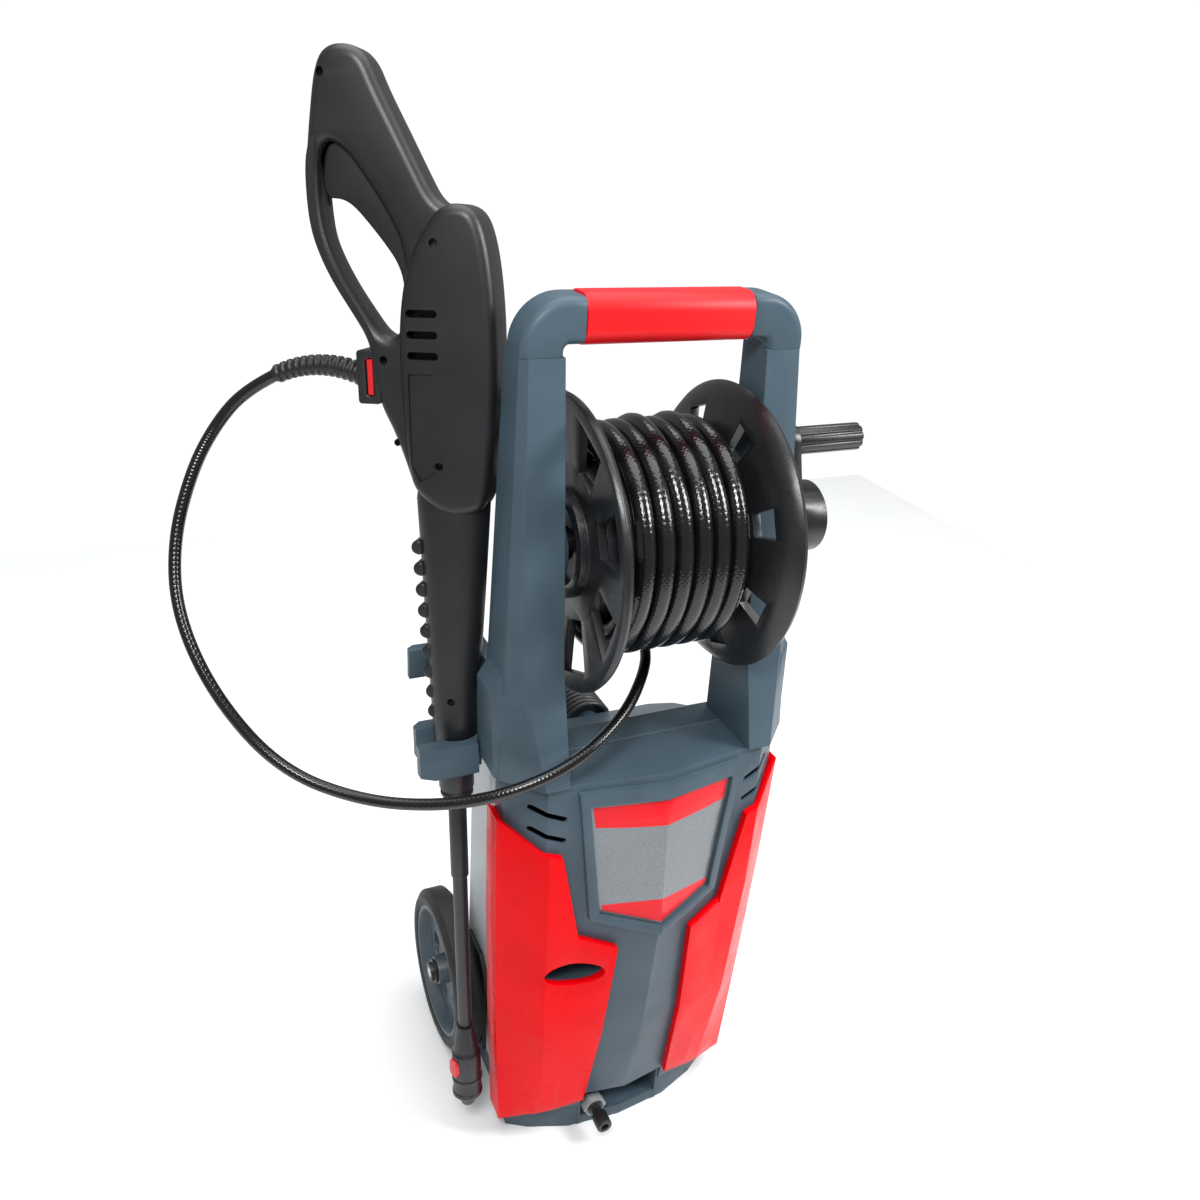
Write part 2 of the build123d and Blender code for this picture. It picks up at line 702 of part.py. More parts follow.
with BuildPart() as axle:
    with BuildSketch(Plane.YZ.offset(-axle_end_x)):
        with Locations((wheel_y, wheel_radius)):
            Circle(axle_radius)
    extrude(amount=2 * axle_end_x)
axle.part.label = "axle"
export_step(axle.part, "parts/axle.step")

with BuildPart() as axle_brackets:
    for side in (-1, 1):
        with BuildSketch(Plane.YZ.offset(side * (rear_half + 0.1))):
            with BuildLine():
                Polyline((20, base_height), (20, 150), (38, 168), (80, 168), (124, 110), (124, 60),
                         (104, base_height), close=True)
            make_face()
            with Locations((wheel_y, wheel_radius)):
                Circle(axle_radius + 0.02, mode=Mode.SUBTRACT)   # the axle is pressed in
        extrude(amount=side * bracket_wall)
axle_brackets.part.label = "axle_brackets"
export_step(axle_brackets.part, "parts/axle_brackets.step")

with BuildPart() as wheel_caps:
    for side in (-1, 1):
        cap_x = wheel_inner_x + wheel_width - cap_sunk
        with BuildSketch(Plane.YZ.offset(side * cap_x)):
            with Locations((wheel_y, wheel_radius)):
                Circle(cap_flange[0])
                Circle(axle_radius, mode=Mode.SUBTRACT)
        extrude(amount=side * cap_flange[1])
        with BuildSketch(Plane.YZ.offset(side * (cap_x + cap_flange[1]))):
            with Locations((wheel_y, wheel_radius)):
                Circle(cap_head[0])
                Circle(axle_radius, mode=Mode.SUBTRACT)
        extrude(amount=side * cap_head[1])
wheel_caps.part.label = "wheel_caps"
export_step(wheel_caps.part, "parts/wheel_caps.step")

wheel_axis = Axis((0, wheel_y, wheel_radius), (1, 0, 0))
for side, word in ((-1, "left"), (1, "right")):
    wheel_plane = Plane((side * wheel_inner_x, wheel_y, wheel_radius), x_dir=(side, 0, 0),
                        z_dir=(0, -side, 0))
    with BuildPart() as tyre:
        with BuildSketch(wheel_plane):
            with BuildLine():
                Polyline((1, rim_radius), (0, rim_radius + 4), (0, wheel_radius - 8), (6, wheel_radius),
                         (wheel_width - 6, wheel_radius), (wheel_width, wheel_radius - 8),
                         (wheel_width, rim_radius + 4), (wheel_width - 1, rim_radius), close=True)
            make_face()
        revolve(axis=wheel_axis)
    tyre.part.label = "tyre_" + word
    export_step(tyre.part, "parts/tyre_" + word + ".step")

    with BuildPart() as rim:
        with BuildSketch(wheel_plane):
            bore = axle_radius + shaft_clearance
            with BuildLine():
                Polyline((1, bore), (1, hub_radius), (12, hub_radius), (12, rim_radius - 8),
                         (2, rim_radius - 5), (2, rim_radius), (wheel_width - 2, rim_radius),
                         (wheel_width - 2, rim_radius - 5), (17, rim_radius - 10), (17, hub_radius),
                         (wheel_width - 2, hub_radius - 2), (wheel_width - 2, bore), close=True)
            make_face()
        revolve(axis=wheel_axis)
        with BuildSketch(Plane((side * wheel_inner_x, wheel_y, wheel_radius), x_dir=(0, 1, 0),
                               z_dir=(side, 0, 0))):
            with PolarLocations((rim_radius + hub_radius) / 2 - 4, rim_windows):
                RectangleRounded(22, 26, 6)
        extrude(amount=wheel_width, mode=Mode.SUBTRACT)
    rim.part.label = "rim_" + word
    export_step(rim.part, "parts/rim_" + word + ".step")

# ---------------------------------------------------------------- spray gun and lance
# Gun frame: origin on the lance axis at the holder, u towards the hand grip, v up the lance.
lean = radians(gun_lean)
yaw = radians(gun_yaw)
gun_u = Vector(-cos(yaw), sin(yaw) * cos(lean), -sin(yaw) * sin(lean))
gun_w = Vector(sin(yaw), cos(yaw) * cos(lean), -cos(yaw) * sin(lean))
gun_v = Vector(0, sin(lean), cos(lean))
gun_plane = Plane(origin=collar_pos, x_dir=gun_u, z_dir=gun_w)
seat_v = 20.0
fore_top_v = 262.0          # the fore-end widens up to here
fore_width = 68.0
fore_depth = 41.0
fore_shift = -7.0           # middle of the wide end, from the lance axis
fore_corner = 17.0
cover_proud = 4.0           # the cover stands this far above the grip on both sides
bore_play = 0.02            # round pressed-in screws and pins
trigger_play = 0.5


def gun_level(v):
    """Plane across the lance axis at height v."""
    return Plane(origin=Vector(*collar_pos) + gun_v * v, x_dir=gun_u, z_dir=gun_v)


gun_outline = [
    (-40, 262), (-49, 330), (-52, 400), (-49, 450), (-43, 488), (-36, 507), (-8, 511), (5, 533),
    (38, 595), (48, 617), (57, 625), (80, 625), (90, 612), (99, 570), (104, 530), (103, 488),
    (92, 460), (66, 418), (58, 397), (50, 396), (50, 350), (38, 328), (28, 300), (27, 262),
]
loop_outline = [
    (84, 557), (59, 536), (39, 505), (25, 481), (24, 459), (31, 408), (44, 409), (58, 428),
    (80, 464), (91, 490), (93, 520), (91, 548),
]
trigger_outline = [
    (31, 440), (27, 457), (41, 478), (57, 498), (71, 513), (89, 517), (90, 530), (82, 547), (60, 528),
    (42, 503), (28, 482), (8, 470), (4, 446), (14, 436),
]
slot_outline = [
    (92, 516), (96, 545), (80, 573), (50, 549), (26, 517), (6, 492), (-2, 470), (-4, 440), (12, 428),
    (34, 432), (29, 458),
]
trigger_pivot = (14.0, 450.0)
trigger_half = 8.0
pin_r = 2.5
valve_radius = 8.0
valve_length = 380.0
gun_screws = [(87, 609), (-14, 488), (41, 382), (30, 316), (-13, 298)]
screw_radius = 3.0

with BuildPart() as gun_body:
    with BuildSketch(gun_plane.offset(-gun_half)):
        with BuildLine():
            Polyline(*gun_outline, close=True)
        make_face()
    extrude(amount=2 * gun_half)
    with BuildSketch(gun_plane.offset(-gun_half - cover_proud)):
        with BuildLine():
            Polyline((-40, 262), (-48, 330), (-50, 400), (-47, 450), (-41, 486), (-34, 502), (-10, 505),
                     (6, 440), (24, 380), (26, 290), (14, 272), (-14, 258), close=True)
        make_face()
    extrude(amount=2 * (gun_half + cover_proud))
    with BuildSketch(gun_level(seat_v)):
        Circle(fore_radius)
    with BuildSketch(gun_level(fore_top_v)):
        with Locations((fore_shift, 0)):
            RectangleRounded(fore_width, fore_depth, fore_corner)
    loft()
    with BuildSketch(gun_level(fore_top_v)):
        with Locations((fore_shift, 0)):
            RectangleRounded(fore_width, fore_depth, fore_corner)
    extrude(amount=12)
    with BuildSketch(gun_plane.offset(-40)):
        with BuildLine():
            Polyline(*loop_outline, close=True)
        make_face()
    extrude(amount=80, mode=Mode.SUBTRACT)
    with BuildSketch(gun_plane.offset(-trigger_half - trigger_play)):
        with BuildLine():
            Polyline(*slot_outline, close=True)
        make_face()
    extrude(amount=2 * (trigger_half + trigger_play), mode=Mode.SUBTRACT)
    with BuildSketch(gun_level(seat_v - 1)):
        Circle(valve_radius + 0.1)
    extrude(amount=valve_length + 6, mode=Mode.SUBTRACT)
    with BuildSketch(gun_plane.offset(-gun_half - 5)):
        with Locations(*gun_screws):
            Circle(screw_radius + bore_play)
    extrude(amount=gun_half + 14, mode=Mode.SUBTRACT)
    with BuildSketch(gun_plane.offset(-gun_half + 4)):
        with Locations(trigger_pivot):
            Circle(pin_r + bore_play)
    extrude(amount=2 * gun_half - 8, mode=Mode.SUBTRACT)

for name, side in (("gun_shell_near", Keep.BOTTOM), ("gun_shell_far", Keep.TOP)):
    with BuildPart() as gun_shell:
        add(gun_body.part)
        split(bisect_by=gun_plane, keep=side)
    gun_shell.part.label = name
    export_step(gun_shell.part, "parts/" + name + ".step")

with BuildPart() as gun_screw_set:
    for place in gun_screws:
        with BuildSketch(gun_plane.offset(-gun_half + 3)):
            with Locations(place):
                Circle(screw_radius)
        extrude(amount=gun_half + 5)
gun_screw_set.part.label = "gun_screws"
export_step(gun_screw_set.part, "parts/gun_screws.step")

with BuildPart() as trigger:
    with BuildSketch(gun_plane.offset(-trigger_half)):
        with BuildLine():
            Polyline(*trigger_outline, close=True)
        make_face()
        with Locations(trigger_pivot):
            Circle(pin_r + shaft_clearance, mode=Mode.SUBTRACT)
    extrude(amount=2 * trigger_half)
trigger.part.label = "trigger"
export_step(trigger.part, "parts/trigger.step")

with BuildPart() as trigger_pin:
    with BuildSketch(gun_plane.offset(-gun_half + 5)):
        with Locations(trigger_pivot):
            Circle(pin_r)
    extrude(amount=2 * gun_half - 10)
trigger_pin.part.label = "trigger_pin"
export_step(trigger_pin.part, "parts/trigger_pin.step")

with BuildPart() as gun_valve:
    with BuildSketch(gun_level(seat_v + 1)):
        Circle(valve_radius)
        Circle(4, mode=Mode.SUBTRACT)
    extrude(amount=valve_length)
gun_valve.part.label = "gun_valve"
export_step(gun_valve.part, "parts/gun_valve.step")

port_half = 15.0
with BuildPart() as hose_port:
    with BuildSketch(gun_plane.offset(-port_half)):
        with Locations((60.2, 373)):
            Rectangle(20, 45)
    extrude(amount=2 * port_half)
    fillet(hose_port.edges().filter_by(Axis((0, 0, 0), tuple(gun_w))), 3)
    with BuildSketch(gun_plane.offset(-port_half - 1)):
        with Locations((59, 373)):
            RectangleRounded(7, 32, 3)
    extrude(amount=8, mode=Mode.SUBTRACT)
hose_port.part.label = "hose_port"
export_step(hose_port.part, "parts/hose_port.step")

with BuildPart() as hose_clip:
    with BuildSketch(gun_plane.offset(-port_half + 1)):
        with Locations((59, 373)):
            Rectangle(5, 30)
    extrude(amount=6)
hose_clip.part.label = "hose_clip"
export_step(hose_clip.part, "parts/hose_clip.step")

relief_points = [(70.3, 373), (112, 380), (152, 370)]
relief_radius = 10.5
with BuildPart() as hose_relief:
    with BuildLine(gun_plane) as relief_path:
        ThreePointArc(*relief_points)
    with BuildSketch(Plane(origin=relief_path.line @ 0, z_dir=relief_path.line % 0)):
        Circle(relief_radius)
    sweep()
hose_relief.part.label = "hose_relief"
export_step(hose_relief.part, "parts/hose_relief.step")
relief_end = relief_path.line @ 1
relief_way = relief_path.line % 1
print("hose leaves at", relief_end, "towards", relief_way)


def turned_on_lance(points):
    """Ring turned about the lance axis from (radius, v) points."""
    with BuildPart() as ring:
        with BuildSketch(gun_plane):
            with BuildLine():
                Polyline(*points, close=True)
            make_face()
        revolve(axis=Axis(collar_pos, tuple(gun_v)))
    return ring.part


with BuildPart() as lance_collar:
    add(turned_on_lance([(0, 19.8), (17, 19.8), (17, -18), (14.5, -19), (14.5, -22), (16, -23), (16, -26),
                         (14, -27), (14, -30), (11, -36), (0, -36)]))
lance_collar.part.label = "lance_collar"
export_step(lance_collar.part, "parts/lance_collar.step")

with BuildPart() as lance_tube:
    add(turned_on_lance([(4, -36.1), (lance_radius + 1.5, -36.1), (lance_radius + 1.5, -120),
                         (lance_radius, -122), (lance_radius, -306), (4, -306)]))
lance_tube.part.label = "lance_tube"
export_step(lance_tube.part, "parts/lance_tube.step")

nozzle_button_v = -356.0
nozzle_dir = gun_u * sin(radians(40)) - gun_w * cos(radians(40))
nozzle_plane = Plane(origin=Vector(*collar_pos) + gun_v * nozzle_button_v, x_dir=gun_v, z_dir=nozzle_dir)
with BuildPart() as nozzle_body:
    add(turned_on_lance([(0, -306.1), (9.5, -306.1), (13.5, -338), (15.5, -341), (15.5, -372), (9, -372),
                         (9, -404), (7, -410), (0, -410)]))
    with BuildSketch(nozzle_plane.offset(9)):
        SlotOverall(22.6, 14.6)
    extrude(amount=20, mode=Mode.SUBTRACT)
nozzle_body.part.label = "nozzle_body"
export_step(nozzle_body.part, "parts/nozzle_body.step")

with BuildPart() as nozzle_button:
    with BuildSketch(nozzle_plane.offset(11.5)):
        SlotOverall(22, 14)
    extrude(amount=6)
nozzle_button.part.label = "nozzle_button"
export_step(nozzle_button.part, "parts/nozzle_button.step")

with BuildPart() as nozzle_ring:
    add(turned_on_lance([(9.05, -372.3), (16.2, -372.3), (16.2, -376), (15.2, -377), (15.2, -390),
                         (16.2, -391), (16.2, -395), (12, -400), (9.05, -400)]))
nozzle_ring.part.label = "nozzle_ring"
export_step(nozzle_ring.part, "parts/nozzle_ring.step")

# ---------------------------------------------------------------- gun holder on the left upright
holder_height = 30.0
holder_gap = 2.4            # the widening fore-end stays clear of the fork by this
holder_low_v = seat_v - 10
fork_slot = 15.0            # half width between the fork's arms
fork_front = fore_radius + holder_gap + 13
fork_back = fore_radius + holder_gap + 11
fork_root = -44.0           # inside the upright's foot
fork_long = 42.0            # front arm, rear arm, from the lance axis
fork_short = 34.0
ledge_radius = 17.5         # hole in the ledge below the fore-end
foot_play = 0.4


def holder_level(v):
    """Plane across the lance axis at height v, with its x axis to the left and its y axis to the front."""
    return Plane(origin=Vector(*collar_pos) + gun_v * v, x_dir=(-1, 0, 0), z_dir=gun_v)


with BuildPart() as gun_holder:
    with BuildSketch(holder_level(holder_low_v)):
        with BuildLine():
            Polyline((fork_root, -fork_back), (fork_root, fork_front), (fork_long - 12, fork_front),
                     (fork_long, fork_front - 9), (fork_long, fork_slot), (fork_short, -fork_slot),
                     (fork_short, -fork_back + 8), (fork_short - 8, -fork_back), close=True)
        make_face()
    extrude(amount=holder_height)
    with BuildSketch(holder_level(holder_low_v - 1)):
        Circle(ledge_radius)
    extrude(amount=60, mode=Mode.SUBTRACT)
    with BuildSketch(holder_level(holder_low_v - 1)):
        with Locations((40, 0)):
            Rectangle(80, 2 * fork_slot)
    extrude(amount=60, mode=Mode.SUBTRACT)
    with BuildSketch(holder_level(seat_v)):
        Circle(fore_radius + holder_gap)
    extrude(amount=80, mode=Mode.SUBTRACT)
    with BuildSketch(Plane.XY.offset(body_top - 60)):
        with Locations((-foot_outer / 2, -67)):
            Rectangle(foot_outer + foot_play, 97)
    extrude(amount=160, mode=Mode.SUBTRACT)
    with BuildSketch(Plane.XY.offset(body_top - 60)):
        with Locations((-60, -19)):
            Rectangle(180, 300)
    extrude(amount=60 + seam_gap, mode=Mode.SUBTRACT)
gun_holder.part.label = "gun_holder"
export_step(gun_holder.part, "parts/gun_holder.step")

# ---------------------------------------------------------------- cord hooks, gland, plug and screws
hook_x = 27.0
hank_gap = 2.0              # between the housing and the hank
hank_depth = 52.0
hank_width = 66.0
hank_height = 200.0
hank_low = body_top - 262.0
hank_slot = 34.0            # width of the hank's empty middle
hook_radius = hank_slot / 2 - 0.5
hook_top_z = hank_low + hank_height - hank_width / 2
hook_low_z = hank_low + hank_width / 2
hook_reach = hank_gap + hank_depth + 1.0
lip_reach = 38.0            # hook axis to the end of its lip


def hook(height, way):
    """Post with a lip; way is 1 for a lip that points up and -1 for one that points down."""
    with BuildPart() as shape:
        with BuildSketch(Plane.XZ.offset(-housing_back - 0.1)):
            with Locations((hook_x, height)):
                Circle(hook_radius)
        extrude(amount=-hook_reach)
        with BuildSketch(Plane.XZ.offset(-housing_back - hook_reach)):
            with Locations((hook_x, height + way * (lip_reach - hook_radius) / 2)):
                SlotOverall(lip_reach + hook_radius, 2 * hook_radius, rotation=90)
        extrude(amount=-5)
    return shape.part


with BuildPart() as cord_hook_upper:
    add(hook(hook_top_z, 1))
cord_hook_upper.part.label = "cord_hook_upper"
export_step(cord_hook_upper.part, "parts/cord_hook_upper.step")

with BuildPart() as cord_hook_lower:
    add(hook(hook_low_z, -1))
cord_hook_lower.part.label = "cord_hook_lower"
export_step(cord_hook_lower.part, "parts/cord_hook_lower.step")

gland_length = 30.0
with BuildPart() as cord_gland:
    with BuildSketch(Plane.XZ.offset(-housing_back + 6)):
        with Locations((gland_x, gland_z)):
            Circle(gland_radius)
    extrude(amount=-6)
    with BuildSketch(Plane.XZ.offset(-housing_back)):
        with Locations((gland_x, gland_z)):
            Circle(gland_radius + 2)
    with BuildSketch(Plane.XZ.offset(-housing_back - gland_length)):
        with Locations((gland_x, gland_z)):
            Circle(cord_radius + 1.5)
    loft()
cord_gland.part.label = "cord_gland"
export_step(cord_gland.part, "parts/cord_gland.step")

with BuildPart() as power_cord_hank:
    with BuildSketch(Plane.XZ.offset(-housing_back - hank_gap)):
        with Locations((hook_x, hank_low + hank_height / 2)):
            SlotOverall(hank_height, hank_width, rotation=90)
            SlotOverall(hank_height - hank_width + hank_slot, hank_slot, rotation=90, mode=Mode.SUBTRACT)
    extrude(amount=-hank_depth)
power_cord_hank.part.label = "power_cord_hank"
export_step(power_cord_hank.part, "parts/power_cord_hank.step")

plug_radius = 19.0
plug_x = hook_x - hank_width / 2 - plug_radius - 0.5
plug_y = housing_back + hank_gap + hank_depth - 10.0
plug_top = hank_low + 82.0
plug_height = 34.0
pin_spread = 19.0           # between the plug's two pins
pin_length = 19.0
relief_top = plug_top + 40.0
relief_x = hook_x - hank_width / 2 - 3.0
with BuildPart() as power_plug:
    with BuildSketch(Plane((relief_x, plug_y, relief_top))):
        Circle(cord_radius + 1.5)
    with BuildSketch(Plane((plug_x, plug_y, plug_top))):
        Circle(9)
    loft()
    with BuildSketch(Plane.XY.offset(plug_top)):
        with Locations((plug_x, plug_y)):
            Circle(plug_radius)
    extrude(amount=-plug_height)
    with BuildSketch(Plane.XY.offset(plug_top - plug_height)):
        with Locations((plug_x - pin_spread / 2, plug_y), (plug_x + pin_spread / 2, plug_y)):
            Circle(2.4)
    extrude(amount=-pin_length)
    add(power_cord_hank.part, mode=Mode.SUBTRACT)
power_plug.part.label = "power_plug"
export_step(power_plug.part, "parts/power_plug.step")

case_screw_places = [(x, z) for x in (-96.0, 96.0) for z in (70.0, 230.0, body_top - 112.0)]
with BuildPart() as case_screws:
    for x, z in case_screw_places:
        with BuildSketch(Plane.XZ.offset(-housing_back)):
            with Locations((x, z)):
                Circle(4)
        extrude(amount=-1.5)
case_screws.part.label = "case_screws"
export_step(case_screws.part, "parts/case_screws.step")


# ---------------------------------------------------------------- hose and mains lead
def cord_radii(points):
    """Largest tangent arc that each corner of a route leaves room for."""
    radii = []
    for before, here, after in zip(points, points[1:], points[2:]):
        run_in = Vector(*here) - Vector(*before)
        run_out = Vector(*after) - Vector(*here)
        turn = radians(run_in.get_angle(run_out))
        radii.append(0.45 * min(run_in.length, run_out.length) / tan(turn / 2))
    return radii


def cord_tube(points, radius, name):
    """Tube along straight runs joined by tangent arcs."""
    radii = cord_radii(points)
    print(name, "radii", [round(value) for value in radii])
    with BuildPart() as tube:
        with BuildLine() as route:
            FilletPolyline(*points, radius=radii)
        with BuildSketch(Plane(origin=route.line @ 0, z_dir=route.line % 0)):
            Circle(radius)
        sweep()
    route_length = route.wires()[0].length
    expected = pi * radius ** 2 * route_length
    print(name, "length", round(route_length), "volume ratio", round(tube.part.volume / expected, 4))
    tube.part.label = name
    export_step(tube.part, "parts/" + name + ".step")


hose_start = relief_end + relief_way * 0.3
hose_route = [
    tuple(hose_start), tuple(hose_start + relief_way * 34), (-346, 157, 768), (-370, 146, 732),
    (-393, 124, 676), (-399, 90, 619), (-378, 44, 557), (-333, -2, 499), (-269, -48, 481), (-203, -88, 489),
    (-148, -112, 509), (-92, -112, 527), (-36, -84, 546), (1, -48, 566), (18, -16, 573), (24, 10, 577),
]
cord_route = [
    (gland_x, housing_back + gland_length, gland_z), (gland_x, 166, 121), (69, 187, 133), (67, 200, 154),
    (64, 203, 180), (60, 197, 206), (56, 185, 230), (52, 173, 252), (49, 164, 274),
]
cord_tube(hose_route, hose_radius, "hose_loop")
cord_tube(cord_route, cord_radius, "power_cord")

joiner_way = (Vector(*hose_route[-1]) - Vector(*hose_route[-2])).normalized()
with BuildPart() as hose_joiner:
    with BuildSketch(Plane(origin=hose_route[-1], z_dir=joiner_way)):
        Circle(hose_radius + 2.5)
    extrude(amount=32)
hose_joiner.part.label = "hose_joiner"
export_step(hose_joiner.part, "parts/hose_joiner.step")
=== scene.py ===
# %% [markdown]
# # An upright pressure washer
# The machine is a tall moulded housing on two wheels. A hose reel sits in its handle, and a spray gun
# stands in a holder at its side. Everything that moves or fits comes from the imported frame: this script
# gives those pieces their rounded edges, adds the hose, the lead and the small mouldings, and finishes
# every surface.

import json
from math import atan2, cos, pi, radians, sin
from random import Random

import bmesh
import bpy
from mathutils import Matrix, Vector


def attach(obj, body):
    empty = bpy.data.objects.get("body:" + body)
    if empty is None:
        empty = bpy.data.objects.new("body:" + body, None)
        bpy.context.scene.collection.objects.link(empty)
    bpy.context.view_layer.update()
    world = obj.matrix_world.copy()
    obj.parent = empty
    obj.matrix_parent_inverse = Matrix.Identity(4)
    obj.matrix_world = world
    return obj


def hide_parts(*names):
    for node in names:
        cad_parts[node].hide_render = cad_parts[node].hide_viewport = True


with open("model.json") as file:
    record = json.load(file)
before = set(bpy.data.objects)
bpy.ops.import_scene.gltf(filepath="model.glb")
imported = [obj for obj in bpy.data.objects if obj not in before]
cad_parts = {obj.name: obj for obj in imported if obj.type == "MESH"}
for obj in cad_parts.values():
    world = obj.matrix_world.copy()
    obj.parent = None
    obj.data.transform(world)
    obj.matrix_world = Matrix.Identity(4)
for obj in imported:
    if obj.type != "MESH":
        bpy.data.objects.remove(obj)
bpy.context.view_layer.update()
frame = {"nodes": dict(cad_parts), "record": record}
MM = 0.001

# %% [markdown]
# ## Camera
# A person standing a little above the machine and to its left sees it like this. The camera is placed by
# where that person stands and which way they look, and it leans a few degrees, as a hand-held one does.

# %% Camera
camera_data = bpy.data.cameras.new("standing_view")
camera = bpy.data.objects.new("standing_view", camera_data)
bpy.context.scene.collection.objects.link(camera)
camera_data.sensor_width = 36.0
camera_data.lens = 31.64
camera_data.clip_start = 0.01
stand = Vector((-431.8, -805.5, 1071.1)) * MM
heading, downward, roll = radians(-26.6), radians(-26.4), radians(4.5)
turn = Matrix.Rotation(heading, 4, "Z") @ Matrix.Rotation(pi / 2 + downward, 4, "X")
camera.matrix_world = Matrix.Translation(stand) @ turn @ Matrix.Rotation(roll, 4, "Z")
bpy.context.scene.camera = camera
print("camera at", tuple(stand))

# %% [markdown]
# ## Cords
# The lance hose leaves the gun through its strain relief, swings out and down past the gun, and comes up
# over the front of the housing to the reel. A round hose has one thickness all along, so it is a curve
# with a bevel of one metre, and each point's radius scales that down to the hose's own.


# %% A cord from its route
def cord_curve(name, route, diameter):
    """A round cord whose NURBS centre line has the route's points, in millimetres, as its control points."""
    line = bpy.data.curves.new(name, "CURVE")
    line.dimensions = "3D"
    line.bevel_depth = 1.0
    line.bevel_resolution = 5
    line.resolution_u = 12
    line.use_fill_caps = True
    spline = line.splines.new("NURBS")
    spline.points.add(len(route) - 1)
    for point, place in zip(spline.points, route):
        point.co = (place[0] * MM, place[1] * MM, place[2] * MM, 1.0)
        point.radius = diameter / 2 * MM
    spline.order_u = 3
    spline.use_endpoint_u = True
    spline.resolution_u = 12
    cord = bpy.data.objects.new(name, line)
    bpy.context.scene.collection.objects.link(cord)
    return cord


# %% [markdown]
# The route of the lance hose is the one that the frame's own tube follows, point by point.

# %% Lance hose
HOSE_START = Vector((-293.811, 137.392, 816.445))
HOSE_WAY = Vector((-0.738315, 0.453404, -0.499315))
HOSE_DIAMETER = 11.0
hose_route = [
    tuple(HOSE_START + HOSE_WAY * 0.3), tuple(HOSE_START + HOSE_WAY * 34.3), (-346, 157, 768),
    (-370, 146, 732), (-393, 124, 676), (-399, 90, 619), (-378, 44, 557), (-333, -2, 499), (-269, -48, 481),
    (-203, -88, 489), (-148, -112, 509), (-92, -112, 527), (-36, -84, 546), (1, -48, 566), (18, -16, 573),
    (24, 10, 577),
]
lance_hose = cord_curve("lance_hose", hose_route, HOSE_DIAMETER)
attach(lance_hose, "chassis")
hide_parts("hose_loop")

# %% [markdown]
# The mains lead comes out of its gland low on the back, loops up and is wound round two hooks as a hank.
# Its turns are worked out by a loop: six turns forwards next to the hooks, then, after a few points left
# free for the climb, a second layer back over them. The end drops into the plug's own strain relief.

# %% Mains lead
LEAD_DIAMETER = 7.0
LEAD_PITCH = 7.25
hank_x, hank_low_z, hank_high_z = 27.0, 263.0, 397.0
inner_radius, inner_first_y, inner_turns = 21.2, 162.2, 6
outer_radius, outer_first_y, outer_turns = 28.7, 117.8, 5.36
TURN_POINTS = 24
CLIMB_POINTS = 4
lead_route = [
    (70, 142, 120), (70, 166, 121), (69, 187, 133), (67, 200, 154), (64, 203, 180), (60, 197, 206),
    (56, 185, 230), (52, 173, 252), (49, 164, 274),
]


def hank_point(part_turn, radius, y):
    """Place on a long turn round both hooks; part_turn 0 is the middle of the right-hand run."""
    run = hank_high_z - hank_low_z
    around = 2 * run + 2 * pi * radius
    way = (part_turn % 1.0) * around
    if way < run / 2:
        return (hank_x + radius, y, (hank_low_z + hank_high_z) / 2 + way)
    way -= run / 2
    if way < pi * radius:
        angle = way / radius
        return (hank_x + radius * cos(angle), y, hank_high_z + radius * sin(angle))
    way -= pi * radius
    if way < run:
        return (hank_x - radius, y, hank_high_z - way)
    way -= run
    if way < pi * radius:
        angle = pi + way / radius
        return (hank_x + radius * cos(angle), y, hank_low_z + radius * sin(angle))
    way -= pi * radius
    return (hank_x + radius, y, hank_low_z + way)


for step in range(inner_turns * TURN_POINTS + 1):
    done = step / TURN_POINTS
    lead_route.append(hank_point(done, inner_radius, inner_first_y - LEAD_PITCH * done))
for step in range(CLIMB_POINTS, round(outer_turns * TURN_POINTS) + 1):
    done = step / TURN_POINTS
    lead_route.append(hank_point(done, outer_radius, outer_first_y + LEAD_PITCH * done))
lead_route += [(-3, 156, 378), (-6, 156, 366), (-9, 156, 354), (-12, 156, 346)]
mains_lead = cord_curve("mains_lead", lead_route, LEAD_DIAMETER)
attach(mains_lead, "chassis")
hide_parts("power_cord", "power_cord_hank")
print("mains lead points:", len(lead_route))

# %% [markdown]
# ## Floor and light
# The machine stands on a plain pale floor. A wide lamp overhead lights floor and top surfaces alike, a
# smaller one above and to the left shapes the front, and one on the right draws the edges. The
# wall behind is white to look at, but the room is dimmer, so black plastic stays black.

# %% Floor, lamps and world
def place_mesh(name, bm):
    """Turn a finished bmesh into an object at the origin."""
    mesh = bpy.data.meshes.new(name)
    bm.to_mesh(mesh)
    bm.free()
    made = bpy.data.objects.new(name, mesh)
    bpy.context.scene.collection.objects.link(made)
    return made


FLOOR_HALF = 1.7
floor_bm = bmesh.new()
bmesh.ops.create_grid(floor_bm, x_segments=1, y_segments=1, size=FLOOR_HALF)
floor = place_mesh("studio_floor", floor_bm)


def soft_lamp(name, place, aim, size, power):
    """Square area lamp in metres that looks at a point."""
    lamp_data = bpy.data.lights.new(name, "AREA")
    lamp_data.shape = "SQUARE"
    lamp_data.size = size
    lamp_data.energy = power
    lamp = bpy.data.objects.new(name, lamp_data)
    bpy.context.scene.collection.objects.link(lamp)
    look = Vector(aim) - Vector(place)
    lamp.location = place
    lamp.rotation_euler = look.to_track_quat("-Z", "Y").to_euler()
    return lamp


